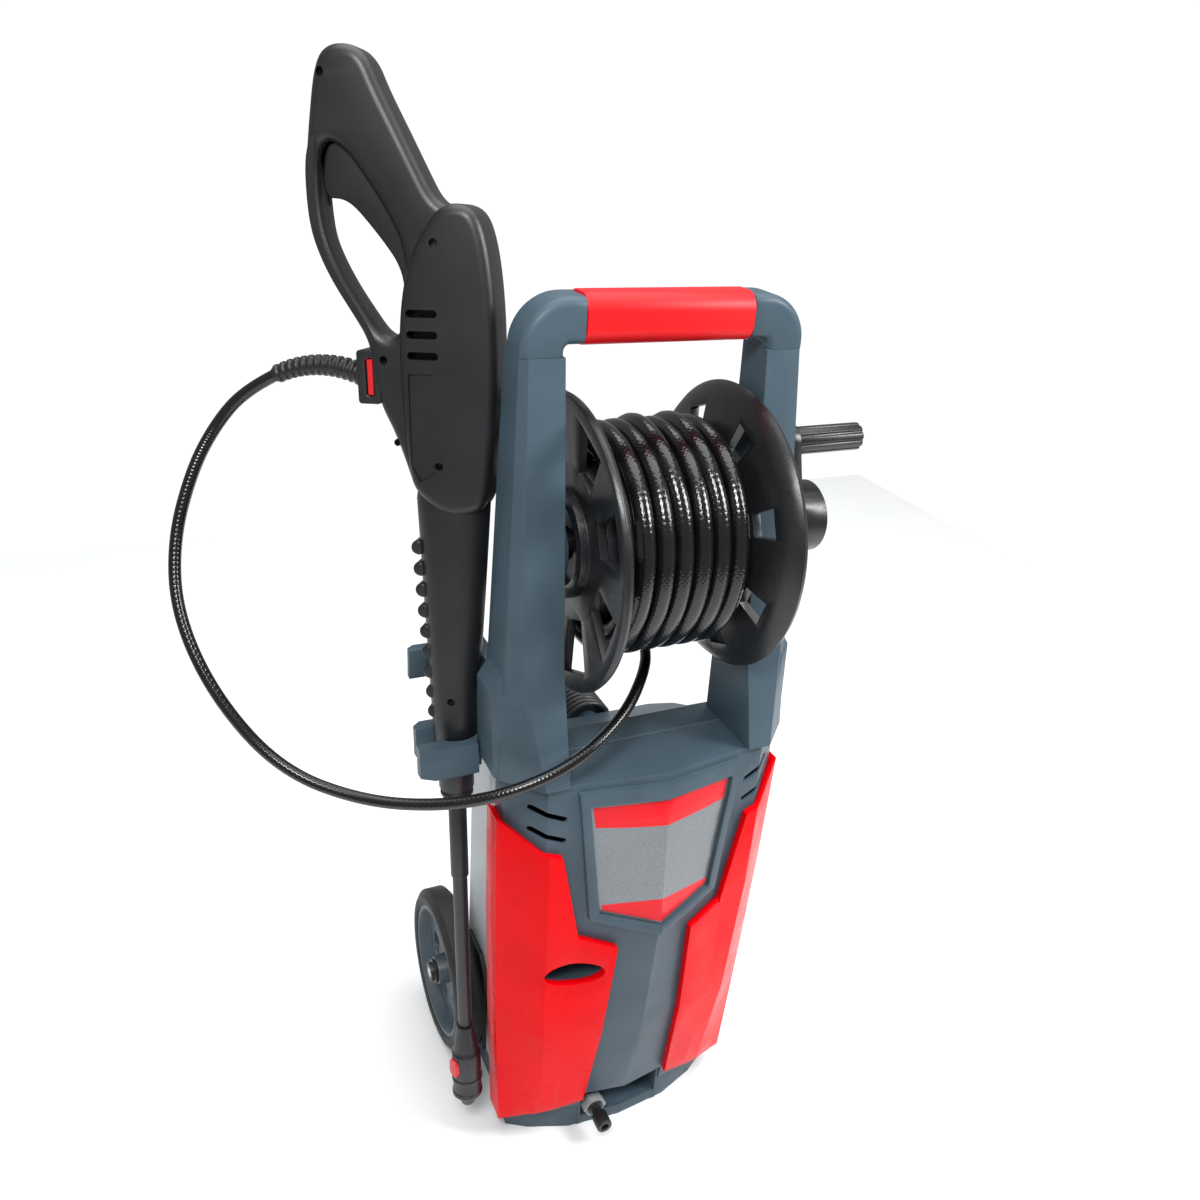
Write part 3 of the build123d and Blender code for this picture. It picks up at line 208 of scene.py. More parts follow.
soft_lamp("top_lamp", (0.3, 0.3, 3.4), (0, 0, 0.3), 3.2, 105)
soft_lamp("key_lamp", (-0.75, -1.0, 1.9), (0, 0, 0.85), 0.5, 24)
soft_lamp("side_lamp", (1.3, -0.9, 1.7), (0, 0, 0.85), 0.7, 34)
world = bpy.data.worlds.new("pale_room")
bpy.context.scene.world = world
world.use_nodes = True
room = world.node_tree
background = room.nodes["Background"]
background.inputs["Color"].default_value = (0.97, 0.98, 1.0, 1)
ROOM_LIGHT, WALL_WHITE = 0.36, 1.05
ray = room.nodes.new("ShaderNodeLightPath")
brightness = room.nodes.new("ShaderNodeMapRange")
brightness.inputs["To Min"].default_value = ROOM_LIGHT
brightness.inputs["To Max"].default_value = WALL_WHITE
room.links.new(ray.outputs["Is Camera Ray"], brightness.inputs["Value"])
room.links.new(brightness.outputs["Result"], background.inputs["Strength"])
bpy.context.scene.view_settings.view_transform = "Standard"
print("lamps:", [lamp.name for lamp in bpy.data.lights])

# %% [markdown]
# ## Finishes
# Almost every surface here is moulded plastic. A mould is eroded to a fine grain, so the plastic has a
# soft broken gloss and a colour that clouds a little from place to place. Each finish starts from what
# the real material is, and its grain is given in millimetres.


# %% Helpers for colours and nodes
def linear(code):
    """Linear colour from an sRGB hex code."""
    channels = [int(code[at:at + 2], 16) / 255 for at in (1, 3, 5)]
    return tuple(c / 12.92 if c <= 0.04045 else ((c + 0.055) / 1.055) ** 2.4 for c in channels) + (1.0,)


def add_node(tree, kind, attributes=None, inputs=None, links=None):
    """Add one shader node with its attributes, its input values and its links."""
    made = tree.nodes.new("ShaderNode" + kind)
    for key, value in (attributes or {}).items():
        setattr(made, key, value)
    for key, value in (inputs or {}).items():
        made.inputs[key].default_value = value
    for key, (source, output) in (links or {}).items():
        tree.links.new(source.outputs[output], made.inputs[key])
    return made


def maths(tree, operation, *operands):
    """Result of a Math node whose inputs, in order, are numbers or other nodes' outputs."""
    made = add_node(tree, "Math", {"operation": operation})
    for socket, operand in zip(made.inputs, operands):
        if isinstance(operand, bpy.types.NodeSocket):
            tree.links.new(operand, socket)
        else:
            socket.default_value = operand
    return made.outputs["Value"]


def broken_gloss(tree, shader, grain, roughness, smoother, rougher):
    """Let the grain make the gloss a little smoother or rougher from place to place."""
    gloss = add_node(tree, "MapRange", inputs={"From Min": 0.3, "From Max": 0.7,
                                               "To Min": roughness - smoother, "To Max": roughness + rougher},
                     links={"Value": (grain, "Fac")})
    tree.links.new(gloss.outputs["Result"], shader.inputs["Roughness"])


def relief(tree, shader, source, output, depth_mm, strength):
    """Lift the surface by a pattern."""
    bump = add_node(tree, "Bump", inputs={"Strength": strength, "Distance": depth_mm * MM},
                    links={"Height": (source, output)})
    tree.links.new(bump.outputs["Normal"], shader.inputs["Normal"])


def new_finish(name, roughness, metallic=0.0, ior=1.5):
    """Material with one Principled shader, and its node tree."""
    finish = bpy.data.materials.new(name)
    finish.use_nodes = True
    tree = finish.node_tree
    shader = tree.nodes["Principled BSDF"]
    shader.inputs["Roughness"].default_value = roughness
    shader.inputs["Metallic"].default_value = metallic
    shader.inputs["IOR"].default_value = ior
    return finish, tree, shader


def ramp_between(tree, source, output, low, high, low_at=0.35, high_at=0.65):
    """Colour ramp from low to high, driven by a texture."""
    ramp = add_node(tree, "ValToRGB", links={"Fac": (source, output)})
    ramp.color_ramp.elements[0].position = low_at
    ramp.color_ramp.elements[0].color = low
    ramp.color_ramp.elements[1].position = high_at
    ramp.color_ramp.elements[1].color = high
    return ramp


# %% [markdown]
# Moulded plastic: a wide noise clouds its colour, and a fine one is the grain. The grain lifts the
# surface by hundredths of a millimetre and breaks up the gloss.

# %% Moulded plastic
def moulded_plastic(name, light, dark, roughness, grain_mm, relief_mm, clouds_mm=60.0, ior=1.5):
    """Plastic whose colour clouds between light and dark, with the grain of its mould."""
    finish, tree, shader = new_finish(name, roughness, ior=ior)
    place = add_node(tree, "TexCoord")
    clouds = add_node(tree, "TexNoise", inputs={"Scale": 1000 / clouds_mm, "Detail": 3.0},
                      links={"Vector": (place, "Object")})
    tint = ramp_between(tree, clouds, "Fac", linear(dark), linear(light))
    tree.links.new(tint.outputs["Color"], shader.inputs["Base Color"])
    grain = add_node(tree, "TexNoise", inputs={"Scale": 1000 / grain_mm, "Detail": 2.0, "Roughness": 0.6},
                     links={"Vector": (place, "Object")})
    broken_gloss(tree, shader, grain, roughness, 0.05, 0.07)
    relief(tree, shader, grain, "Fac", relief_mm, 0.6)
    return finish


# Front shell, base, uprights, holder and hooks: polypropylene out of an eroded mould.
housing_pp = moulded_plastic("eroded_polypropylene_blue_grey", "#41525d", "#3b4b55", 0.42, 1.1, 0.06,
                             ior=1.33)
# Side panels: ABS out of a polished mould.
panel_abs = moulded_plastic("polished_abs_red", "#dc020c", "#d2020b", 0.30, 30.0, 0.001, ior=1.18)
# Handle grip: a soft elastomer moulded over the bar.
grip_tpe = moulded_plastic("soft_elastomer_red", "#dd0510", "#d2040e", 0.46, 0.9, 0.03, ior=1.4)
# Rear shell: polypropylene in light grey, out of an eroded mould.
rear_pp = moulded_plastic("eroded_polypropylene_light_grey", "#b4b9bc", "#a9aeb1", 0.48, 1.1, 0.10)
# Gun, lance, inlet, switch knob, gland, wheel caps and brackets: glass-filled nylon.
gun_nylon = moulded_plastic("glass_filled_nylon_black", "#1b1c1e", "#141517", 0.40, 1.0, 0.035)
# Reel and crank: polypropylene out of a satin mould.
reel_pp = moulded_plastic("satin_polypropylene_black", "#1a1b1d", "#131416", 0.32, 1.6, 0.03)
# Inlet nut and filter: acetal, turned from bar.
nut_acetal = moulded_plastic("turned_acetal_grey", "#8f9496", "#84898b", 0.38, 1.5, 0.04)
# Tyres: solid rubber, moulded.
tyre_rubber = moulded_plastic("moulded_tyre_rubber", "#1d1d1e", "#161617", 0.62, 1.4, 0.12)
# Rims: polypropylene out of a satin mould.
rim_pp = moulded_plastic("satin_polypropylene_slate", "#414d55", "#3a464e", 0.44, 1.2, 0.08)
# Release button and hose clip: moulded nylon.
button_pa = moulded_plastic("moulded_nylon_red", "#c81820", "#bd141c", 0.36, 1.0, 0.05)
# Mains lead, extruded, and its plug: PVC.
lead_pvc = moulded_plastic("extruded_pvc_black", "#202021", "#19191a", 0.40, 1.2, 0.05)
print("plastics ready")

# %% [markdown]
# Metals: a metal's colour is its reflection, so the metals are told apart by that colour, by how rough
# they are and by how their gloss is broken.

# %% Metals
def worked_metal(name, light, dark, roughness, grain_mm, relief_mm):
    """Metal whose colour and gloss both follow one grain."""
    finish, tree, shader = new_finish(name, roughness, metallic=1.0)
    place = add_node(tree, "TexCoord")
    grain = add_node(tree, "TexNoise", inputs={"Scale": 1000 / grain_mm, "Detail": 4.0},
                     links={"Vector": (place, "Object")})
    tint = ramp_between(tree, grain, "Fac", linear(dark), linear(light))
    tree.links.new(tint.outputs["Color"], shader.inputs["Base Color"])
    broken_gloss(tree, shader, grain, roughness, 0.06, 0.08)
    relief(tree, shader, grain, "Fac", relief_mm, 0.5)
    return finish


# Axle, pins, case screws, motor shaft and hose joiner: zinc-plated steel.
zinc_steel = worked_metal("zinc_plated_steel", "#c9cacb", "#b6b7b9", 0.30, 3.0, 0.02)
# Motor and pump housings: die-cast aluminium.
cast_aluminium = worked_metal("die_cast_aluminium", "#b9bbbd", "#a3a5a7", 0.48, 1.5, 0.06)
# Gun screws: blackened steel.
black_steel = worked_metal("blackened_steel", "#2c2c2e", "#1e1e20", 0.38, 2.0, 0.03)
# Gun valve and pressure pipe: brass.
turned_brass = worked_metal("turned_brass", "#c9a254", "#b88f43", 0.28, 2.0, 0.02)

# %% [markdown]
# The lance hose is a rubber tube whose woven sleeve shows through its skin as a fine criss-cross. A curve
# has its own UV map, which runs along it and around it, so two bands of waves that cross on that map
# follow the hose round every bend.


# %% Hose rubber
BRAID_RELIEF, HOSE_CLOUDS = 0.10, 25.0
LANCE_HOSE_LENGTH = 875.0


def hose_rubber(name, length_mm, around_mm, braid_mm=4.0):
    """Black rubber with the braid's criss-cross, for a hose of this length and distance around."""
    finish, tree, shader = new_finish(name, 0.15, ior=1.52)
    place = add_node(tree, "TexCoord")
    heights = []
    for slant in (1, -1):
        spread = add_node(tree, "Mapping", inputs={"Scale": (length_mm / braid_mm,
                                                             slant * round(around_mm / braid_mm), 1.0)},
                          links={"Vector": (place, "UV")})
        along = add_node(tree, "SeparateXYZ", links={"Vector": (spread, "Vector")})
        phase = maths(tree, "ADD", along.outputs["X"], along.outputs["Y"])
        heights.append(maths(tree, "SINE", maths(tree, "MULTIPLY", phase, 2 * pi)))
    woven = maths(tree, "MAXIMUM", *heights)
    relief(tree, shader, woven.node, "Value", BRAID_RELIEF, 0.5)
    clouds = add_node(tree, "TexNoise", inputs={"Scale": 1000 / HOSE_CLOUDS, "Detail": 3.0},
                      links={"Vector": (place, "Object")})
    tint = ramp_between(tree, clouds, "Fac", linear("#0b0b0c"), linear("#121213"))
    tree.links.new(tint.outputs["Color"], shader.inputs["Base Color"])
    return finish


thin_rubber = hose_rubber("braided_rubber_thin", LANCE_HOSE_LENGTH, pi * HOSE_DIAMETER)
lance_hose.data.materials.append(thin_rubber)
mains_lead.data.materials.append(lead_pvc)

# %% [markdown]
# The floor is a plain pale sheet with a faint unevenness, so that shadows fall on something real.

# %% Floor finish
floor_sheet = moulded_plastic("pale_studio_floor", "#f6f7f8", "#f2f4f5", 0.62, 8.0, 0.05, clouds_mm=500.0)
floor.data.materials.append(floor_sheet)

# %% [markdown]
# ## Rounded edges
# No moulding has a knife edge. The frame's pieces do, because a check of fits has no use for rounded
# ones. A copy of each shown piece is merged into one skin, its coplanar triangles are dissolved, and a
# Bevel modifier rounds what is sharp. The copy then stands for the frame's own piece.


# %% Give a frame piece its rounded edges
def body_holding(node):
    for body, nodes in frame["record"]["behaviour"]["bodies"].items():
        if node in nodes:
            return body
    raise ValueError(node)


SHARP, FLAT = radians(28.0), radians(0.6)
SEAM_SHARE = 0.08


def moulding(node, finish, edge_mm, seam_z=None):
    """Rounded copy of a frame node, in its finish, on its node's body.

    Edges at the height seam_z meet another piece flush, so they are hardly rounded.
    """
    bm = bmesh.new()
    bm.from_mesh(frame["nodes"][node].data)
    bmesh.ops.remove_doubles(bm, verts=bm.verts, dist=0.01 * MM)
    bmesh.ops.dissolve_limit(bm, angle_limit=FLAT, verts=bm.verts, edges=bm.edges,
                             use_dissolve_boundaries=False)
    weight = bm.edges.layers.float.new("bevel_weight_edge")
    for edge in bm.edges:
        if len(edge.link_faces) == 2 and edge.calc_face_angle(0.0) > SHARP:
            at_seam = seam_z is not None and all(abs(v.co.z - seam_z * MM) < MM for v in edge.verts)
            edge[weight] = SEAM_SHARE if at_seam else 1.0
    for face in bm.faces:
        face.smooth = True
        face.material_index = 0
    piece = place_mesh(node + "_moulding", bm)
    piece.data.materials.clear()
    piece.data.materials.append(finish)
    rounding = piece.modifiers.new("rounded_edges", "BEVEL")
    rounding.width = edge_mm * MM
    rounding.segments = 3
    rounding.limit_method = "WEIGHT"
    rounding.use_clamp_overlap = True
    rounding.miter_outer = "MITER_ARC"
    rounding.harden_normals = True
    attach(piece, body_holding(node))
    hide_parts(node)
    return piece


WIDE_EDGE = 7.0
rounded = {
    "front_shell": (housing_pp, 2.2), "base_tray": (housing_pp, 1.5), "rear_shell": (rear_pp, 2.2),
    "side_panel_left": (panel_abs, WIDE_EDGE), "side_panel_right": (panel_abs, WIDE_EDGE),
    "upright_left": (housing_pp, WIDE_EDGE), "upright_right": (housing_pp, WIDE_EDGE),
    "handle_bar": (housing_pp, 1.2), "handle_grip": (grip_tpe, 1.0), "gun_holder": (housing_pp, 1.5),
    "reel_flange_left": (reel_pp, 1.2), "reel_flange_right": (reel_pp, 1.2),
    "reel_drum": (reel_pp, 1.0), "reel_bush_left": (housing_pp, 1.2), "reel_bush_right": (reel_pp, 1.0),
    "crank_arm": (reel_pp, 2.5), "crank_grip": (reel_pp, 1.5),
    "hose_port": (gun_nylon, 1.0), "lance_collar": (gun_nylon, 0.6), "lance_tube": (gun_nylon, 0.5),
    "nozzle_body": (gun_nylon, 0.8), "nozzle_ring": (gun_nylon, 0.5), "nozzle_button": (button_pa, 0.8),
    "hose_clip": (button_pa, 0.5),
    "inlet_connector": (gun_nylon, 0.4), "inlet_nut": (nut_acetal, 0.6),
    "switch_knob": (gun_nylon, 0.8), "tyre_left": (tyre_rubber, 1.5), "tyre_right": (tyre_rubber, 1.5),
    "rim_left": (rim_pp, 1.0), "rim_right": (rim_pp, 1.0), "axle_brackets": (gun_nylon, 1.0),
    "wheel_caps": (gun_nylon, 0.8),
    "cord_hook_upper": (housing_pp, 1.5), "cord_hook_lower": (housing_pp, 1.5),
    "cord_gland": (gun_nylon, 0.6), "power_plug": (lead_pvc, 1.2), "hose_joiner": (zinc_steel, 0.6),
}
HANDLE_SEAM_Z = 868.0
meets_bar = ("upright_left", "upright_right", "handle_bar")
mouldings = {}
for node, (finish, edge) in rounded.items():
    mouldings[node] = moulding(node, finish, edge, seam_z=HANDLE_SEAM_Z if node in meets_bar else None)
print("rounded mouldings:", len(mouldings))

# %% [markdown]
# The top of the rear half carries the handle and has the dark colour of the front; only its flanks and
# its back are light grey.

# %% Dark top of the rear half
FACES_UP = 0.2
rear = mouldings["rear_shell"].data
rear.materials.append(housing_pp)
for polygon in rear.polygons:
    if polygon.normal.z > FACES_UP:
        polygon.material_index = 1
print("dark faces:", sum(polygon.material_index for polygon in rear.polygons))

# %% [markdown]
# Screws, pins, the valve and what works inside the housing keep the frame's own shape and only take
# their finish.

# %% Finishes of the pieces kept from the frame
kept = {
    "motor": cast_aluminium, "pump_block": cast_aluminium, "pump_head": cast_aluminium,
    "motor_shaft": zinc_steel, "motor_fan": gun_nylon, "switch_body": gun_nylon,
    "axle": zinc_steel, "trigger_pin": zinc_steel, "case_screws": zinc_steel,
    "gun_valve": turned_brass, "pressure_pipe": turned_brass, "inlet_filter": nut_acetal,
}
for node, finish in kept.items():
    for mat_slot in frame["nodes"][node].material_slots:
        mat_slot.material = finish
print("kept nodes:", len(kept))

# %% [markdown]
# ## Wound hose
# The rest of the hose lies on the drum, about 17 mm thick, in two layers of six turns. Nobody winds a
# hose evenly, so the turns wander a little, and two of them ride up at the top. The spline's points are
# worked out turn by turn from the reel's axis, and the outermost strand reaches down to the joiner.

# %% Two layers of turns round the drum
WOUND_DIAMETER = 17.0
WOUND_POINTS = 20
WOUND_TURNS = 6
WOUND_PITCH = 18.1
outer_layer, inner_layer = 99.4, 84.6
first_x = 52.5
DRIFT = 0.8
RIDGE, RIDGE_LEAN, RIDGE_TURNS = 7.0, 0.9, (1, 3)
ridge_middle, ridge_width = radians(100), radians(110)
reel_axis_y, reel_axis_z = -16.0, 696.0
joiner_y, joiner_z = 41.6, 582.0
wander = Random(7)


def on_reel(x, angle, radius):
    return (x, reel_axis_y + radius * cos(angle), reel_axis_z + radius * sin(angle))


def bell(angle, middle, width):
    """1 at the middle angle, falling to 0 half a width away on either side."""
    away = abs((angle - middle + pi) % (2 * pi) - pi) / (width / 2)
    return 0.0 if away >= 1 else 0.5 + 0.5 * cos(pi * away)


joiner_angle = atan2(joiner_z - reel_axis_z, joiner_y - reel_axis_y)
wound_route = [on_reel(30, joiner_angle, 127.6), on_reel(33, joiner_angle + 0.28, 124.0),
               on_reel(38, joiner_angle + 0.62, 118.0), on_reel(44, joiner_angle + 1.05, 110.0),
               on_reel(50, joiner_angle + 1.5, 103.0)]
first_angle = joiner_angle + 1.8
drift = [wander.uniform(-DRIFT, DRIFT) for _ in range(2 * WOUND_TURNS + 2)]
for step in range(WOUND_TURNS * WOUND_POINTS):
    done = step / WOUND_POINTS
    angle = first_angle + 2 * pi * done
    number = int(done)
    loose = drift[number] + (drift[number + 1] - drift[number]) * (done - number)
    ridge = bell(angle, ridge_middle, ridge_width) * (RIDGE if number in RIDGE_TURNS else 0.0)
    x = first_x - WOUND_PITCH * done + loose - RIDGE_LEAN * ridge
    wound_route.append(on_reel(x, angle, outer_layer + ridge))
last_x = first_x - WOUND_PITCH * WOUND_TURNS
last_angle = first_angle + 2 * pi * WOUND_TURNS
for step in range(WOUND_TURNS * WOUND_POINTS):
    done = step / WOUND_POINTS
    sunk = min(1.0, done * 4)
    radius = outer_layer + (inner_layer - outer_layer) * sunk
    wound_route.append(on_reel(last_x + WOUND_PITCH * done, last_angle + 2 * pi * done, radius))
wound_hose = cord_curve("wound_hose", wound_route, WOUND_DIAMETER)
MEAN_TURN_RADIUS = 93
wound_length = 2 * pi * MEAN_TURN_RADIUS * 2 * WOUND_TURNS
thick_rubber = hose_rubber("braided_rubber_thick", wound_length, pi * WOUND_DIAMETER, braid_mm=4.6)
wound_hose.data.materials.append(thick_rubber)
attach(wound_hose, "reel")
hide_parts("hose_winding")
print("wound hose points:", len(wound_route))

# %% [markdown]
# ## The label
# The label is a printed film under a clear coat: silver, with a red band across its top, a red wedge
# in its tip and a fine border. The print is flat, so it is a pattern in the finish, on the Object
# coordinates of the plate, and its lines are placed in metres like everything else.

# %% Printed film
BAND_LOW, BAND_BOW = 0.4405, 0.9
WEDGE_TOP, WEDGE_SLOPE = 0.3560, -0.06
SIDE_AT_GROUND, SIDE_SLOPE = 0.0167, 0.118
TOP_EDGE = 0.4665
TIP_EDGE, TIP_SLOPE = 0.3290, 0.295
FLAKE = 1.2


def printed_film(name):
    """Silver film with the red fields, kept off the label's edges by a fine border."""
    finish, tree, shader = new_finish(name, 0.34, ior=1.3)
    place = add_node(tree, "TexCoord")
    axes = add_node(tree, "SeparateXYZ", links={"Vector": (place, "Object")})
    height = axes.outputs["Z"]
    across = maths(tree, "ABSOLUTE", axes.outputs["X"])
    band_low = maths(tree, "MULTIPLY_ADD", maths(tree, "POWER", across, 2.0), BAND_BOW, BAND_LOW)
    in_band = maths(tree, "GREATER_THAN", height, band_low)
    wedge_high = maths(tree, "MULTIPLY_ADD", across, WEDGE_SLOPE, WEDGE_TOP)
    in_wedge = maths(tree, "LESS_THAN", height, wedge_high)
    printed = maths(tree, "MAXIMUM", in_band, in_wedge)
    side_edge = maths(tree, "MULTIPLY_ADD", height, SIDE_SLOPE, SIDE_AT_GROUND)
    from_side = maths(tree, "SUBTRACT", side_edge, across)
    from_top = maths(tree, "SUBTRACT", TOP_EDGE, height)
    tip_edge = maths(tree, "MULTIPLY_ADD", across, TIP_SLOPE, TIP_EDGE)
    from_tip = maths(tree, "SUBTRACT", height, tip_edge)
    inside = maths(tree, "MINIMUM", maths(tree, "MINIMUM", from_side, from_top), from_tip)
    in_border = maths(tree, "GREATER_THAN", inside, 0.0)
    red_share = maths(tree, "MULTIPLY", printed, in_border)
    flakes = add_node(tree, "TexNoise", inputs={"Scale": 1000 / FLAKE, "Detail": 2.0},
                      links={"Vector": (place, "Object")})
    silver = ramp_between(tree, flakes, "Fac", linear("#6f7376"), linear("#808487"))
    colour = add_node(tree, "Mix", {"data_type": "RGBA"})
    tree.links.new(red_share, colour.inputs[0])
    tree.links.new(silver.outputs["Color"], colour.inputs[6])
    colour.inputs[7].default_value = linear("#d40c1c")
    tree.links.new(colour.outputs[2], shader.inputs["Base Color"])
    metal = add_node(tree, "MapRange", inputs={"To Min": 0.55, "To Max": 0.0})
    tree.links.new(red_share, metal.inputs["Value"])
    tree.links.new(metal.outputs["Result"], shader.inputs["Metallic"])
    shader.inputs["Coat Weight"].default_value = 0.12
    shader.inputs["Coat Roughness"].default_value = 0.12
    return finish


mouldings["label_plate"] = moulding("label_plate", printed_film("printed_silver_film"), 0.4)
print("label printed")

# %% [markdown]
# ## The spray gun
# The gun's two half shells are moulded with generous radii. A flat curve is the natural start for such
# a piece: a closed outline with a hole in it is filled, given a thickness and a rounded edge in one go,
# and turned into a mesh. That mesh is then cut in two at the parting plane, because the real gun is
# screwed together from a near and a far half, and the fine line between them shows.
#
# The gun has a frame of its own: u points to the hand grip, v up along the lance, and w away from the
# side that shows.

# %% The gun's own frame
lean, swing = radians(7.8), radians(35.0)
gun_u = Vector((-cos(swing), sin(swing) * cos(lean), -sin(swing) * sin(lean)))
gun_w = Vector((sin(swing), cos(swing) * cos(lean), -cos(swing) * sin(lean)))
gun_v = Vector((0, sin(lean), cos(lean)))
gun_origin = Vector((-169.3, 0.8, 461.7))
gun_frame = Matrix((gun_u, gun_v, gun_w)).transposed().to_4x4()
gun_frame.translation = gun_origin * MM
print("lance direction:", tuple(round(c, 3) for c in gun_v))


# %% A rounded plate from flat outlines
def rounded_plate(outlines, half, edge):
    """Closed plate in millimetres round z = 0, from smooth outlines; later outlines are holes."""
    flat = bpy.data.curves.new("flat_outline", "CURVE")
    flat.dimensions = "2D"
    flat.fill_mode = "BOTH"
    flat.extrude = (half - edge) * MM
    flat.bevel_depth = edge * MM
    flat.bevel_resolution = 4
    flat.offset = -edge * MM
    for outline in outlines:
        spline = flat.splines.new("NURBS")
        spline.points.add(len(outline) - 1)
        for point, (x, y) in zip(spline.points, outline):
            point.co = (x * MM, y * MM, 0, 1)
        spline.order_u = 3
        spline.use_cyclic_u = True
        spline.resolution_u = 5
    holder = bpy.data.objects.new("flat_outline", flat)
    mesh = bpy.data.meshes.new_from_object(holder)
    bpy.data.objects.remove(holder)
    bm = bmesh.new()
    bm.from_mesh(mesh)
    bpy.data.meshes.remove(mesh)
    bpy.data.curves.remove(flat)
    bmesh.ops.remove_doubles(bm, verts=bm.verts, dist=0.01 * MM)
    bmesh.ops.recalc_face_normals(bm, faces=bm.faces)
    return bm


def half_of(bm, keep, gap=0.16):
    """Cut a closed body at z = 0, keep one side and close the cut."""
    half = bm.copy()
    cut = bmesh.ops.bisect_plane(half, geom=half.verts[:] + half.edges[:] + half.faces[:], dist=0.001 * MM,
                                 plane_co=(0, 0, keep * gap * MM), plane_no=(0, 0, keep), clear_inner=True)
    rim = [item for item in cut["geom_cut"] if isinstance(item, bmesh.types.BMEdge)]
    bmesh.ops.triangle_fill(half, edges=rim, use_beauty=True, use_dissolve=True)
    bmesh.ops.recalc_face_normals(half, faces=half.faces)
    return half


# %% [markdown]
# Wells and slots are cut out of such a body with a cutter of their shape. A Boolean modifier on a
# temporary object does it exactly, and only the resulting mesh is kept.


# %% Cut one closed body out of another
def carve(body, cutters):
    """Body with all the cutters taken out of it; both are closed meshes that don't cross themselves."""
    shapes = []
    for name, bm in [("carved_body", body)] + [("cutter", cutter) for cutter in cutters]:
        mesh = bpy.data.meshes.new(name)
        bm.to_mesh(mesh)
        bm.free()
        shapes.append(bpy.data.objects.new(name, mesh))
        bpy.context.scene.collection.objects.link(shapes[-1])
    for cutter in shapes[1:]:
        taking = shapes[0].modifiers.new("take_away", "BOOLEAN")
        taking.operation = "DIFFERENCE"
        taking.solver = "EXACT"
        taking.object = cutter
    result = bpy.data.meshes.new_from_object(shapes[0].evaluated_get(bpy.context.evaluated_depsgraph_get()))
    carved = bmesh.new()
    carved.from_mesh(result)
    bpy.data.meshes.remove(result)
    for shape in shapes:
        old = shape.data
        bpy.data.objects.remove(shape)
        bpy.data.meshes.remove(old)
    bmesh.ops.remove_doubles(carved, verts=carved.verts, dist=0.005 * MM)
    return carved


def prism(outline, low, high):
    """Straight-sided closed body in millimetres over an outline."""
    bm = bmesh.new()
    corners = [bm.verts.new((x * MM, y * MM, low * MM)) for x, y in outline]
    base = bm.faces.new(corners)
    raised = bmesh.ops.extrude_face_region(bm, geom=[base])
    top = [item for item in raised["geom"] if isinstance(item, bmesh.types.BMVert)]
    bmesh.ops.translate(bm, vec=(0, 0, (high - low) * MM), verts=top)
    bmesh.ops.recalc_face_normals(bm, faces=bm.faces)
    return bm


def round_cutter(x, y, radius, low, high, segments=24):
    bm = bmesh.new()
    there = Matrix.Translation((x * MM, y * MM, (low + high) / 2 * MM))
    bmesh.ops.create_cone(bm, cap_ends=True, segments=segments, radius1=radius * MM, radius2=radius * MM,
                          depth=(high - low) * MM, matrix=there)
    return bm


# %% [markdown]
# The hand grip and its guard are one D-shaped plate. The cover over the valve is a thicker, deeply
# rounded one that starts under it, and the fore-end is drawn from rings along the lance.

# %% Outlines of grip and cover
grip_outline = [
    (-30, 330), (-34, 420), (-34, 490), (-18, 508), (-4, 515), (6, 534), (22, 566), (38, 597), (46, 617),
    (58, 627), (78, 628), (91, 616), (99, 575), (105, 535), (105, 505), (102, 480), (90, 452), (72, 424),
    (60, 404), (57, 385), (53, 352), (40, 326), (30, 296), (24, 276), (0, 290),
]
guard_hole = [
    (86, 560), (70, 552), (58, 536), (46, 519), (36, 502), (27, 484), (24, 462), (25, 440), (29, 418),
    (34, 406), (46, 408), (60, 428), (72, 446), (84, 468), (92, 490), (94, 515), (93, 545),
]
cover_outline = [
    (-26, 258), (-41, 264), (-47, 300), (-52, 350), (-54, 400), (-52, 450), (-47, 486), (-39, 507),
    (-24, 513), (-8, 510), (5, 494), (18, 472), (26, 445), (30, 416), (31, 388), (30, 340), (27, 300),
    (24, 280), (10, 266), (-6, 256),
]


# %% Fore-end from rings along the lance
def lance_ring(bm, v, half_width, half_depth, shift, segments=40):
    """Ring of vertices across the lance, in the gun's frame, that a loop bridge can join."""
    ring = bmesh.ops.create_circle(bm, segments=segments, radius=1.0, cap_ends=False)["verts"]
    flat = Matrix.Rotation(-pi / 2, 4, "X")
    size = Matrix.Diagonal((half_width * MM, half_depth * MM, 1.0, 1.0))
    there = Matrix.Translation((shift * MM, v * MM, 0))
    bmesh.ops.transform(bm, matrix=there @ flat @ size, verts=ring)
    return list({edge for vert in ring for edge in vert.link_edges})


fore_end = bmesh.new()
ring_stations = [(20.0, 18.6, 18.6, 0.0), (21.5, 19.6, 19.6, 0.0), (60.0, 22.0, 20.2, -1.2),
                 (120.0, 25.4, 20.6, -3.0), (180.0, 28.8, 21.0, -4.8), (240.0, 32.0, 21.4, -6.4),
                 (268.0, 33.4, 21.6, -7.0), (290.0, 31.0, 19.5, -8.0)]
rings = [lance_ring(fore_end, *station) for station in ring_stations]
for low, high in zip(rings, rings[1:]):
    bmesh.ops.bridge_loops(fore_end, edges=low + high)
bmesh.ops.holes_fill(fore_end, edges=rings[0] + rings[-1], sides=0)
bmesh.ops.recalc_face_normals(fore_end, faces=fore_end.faces)

# %% [markdown]
# The grip is hollow where the trigger swings. Grip, cover and fore-end have screw wells, and the cover
# has three air slots and a sunk panel, which would carry the instructions. Depths are heights above or
# below the parting plane; the side that shows is below it.

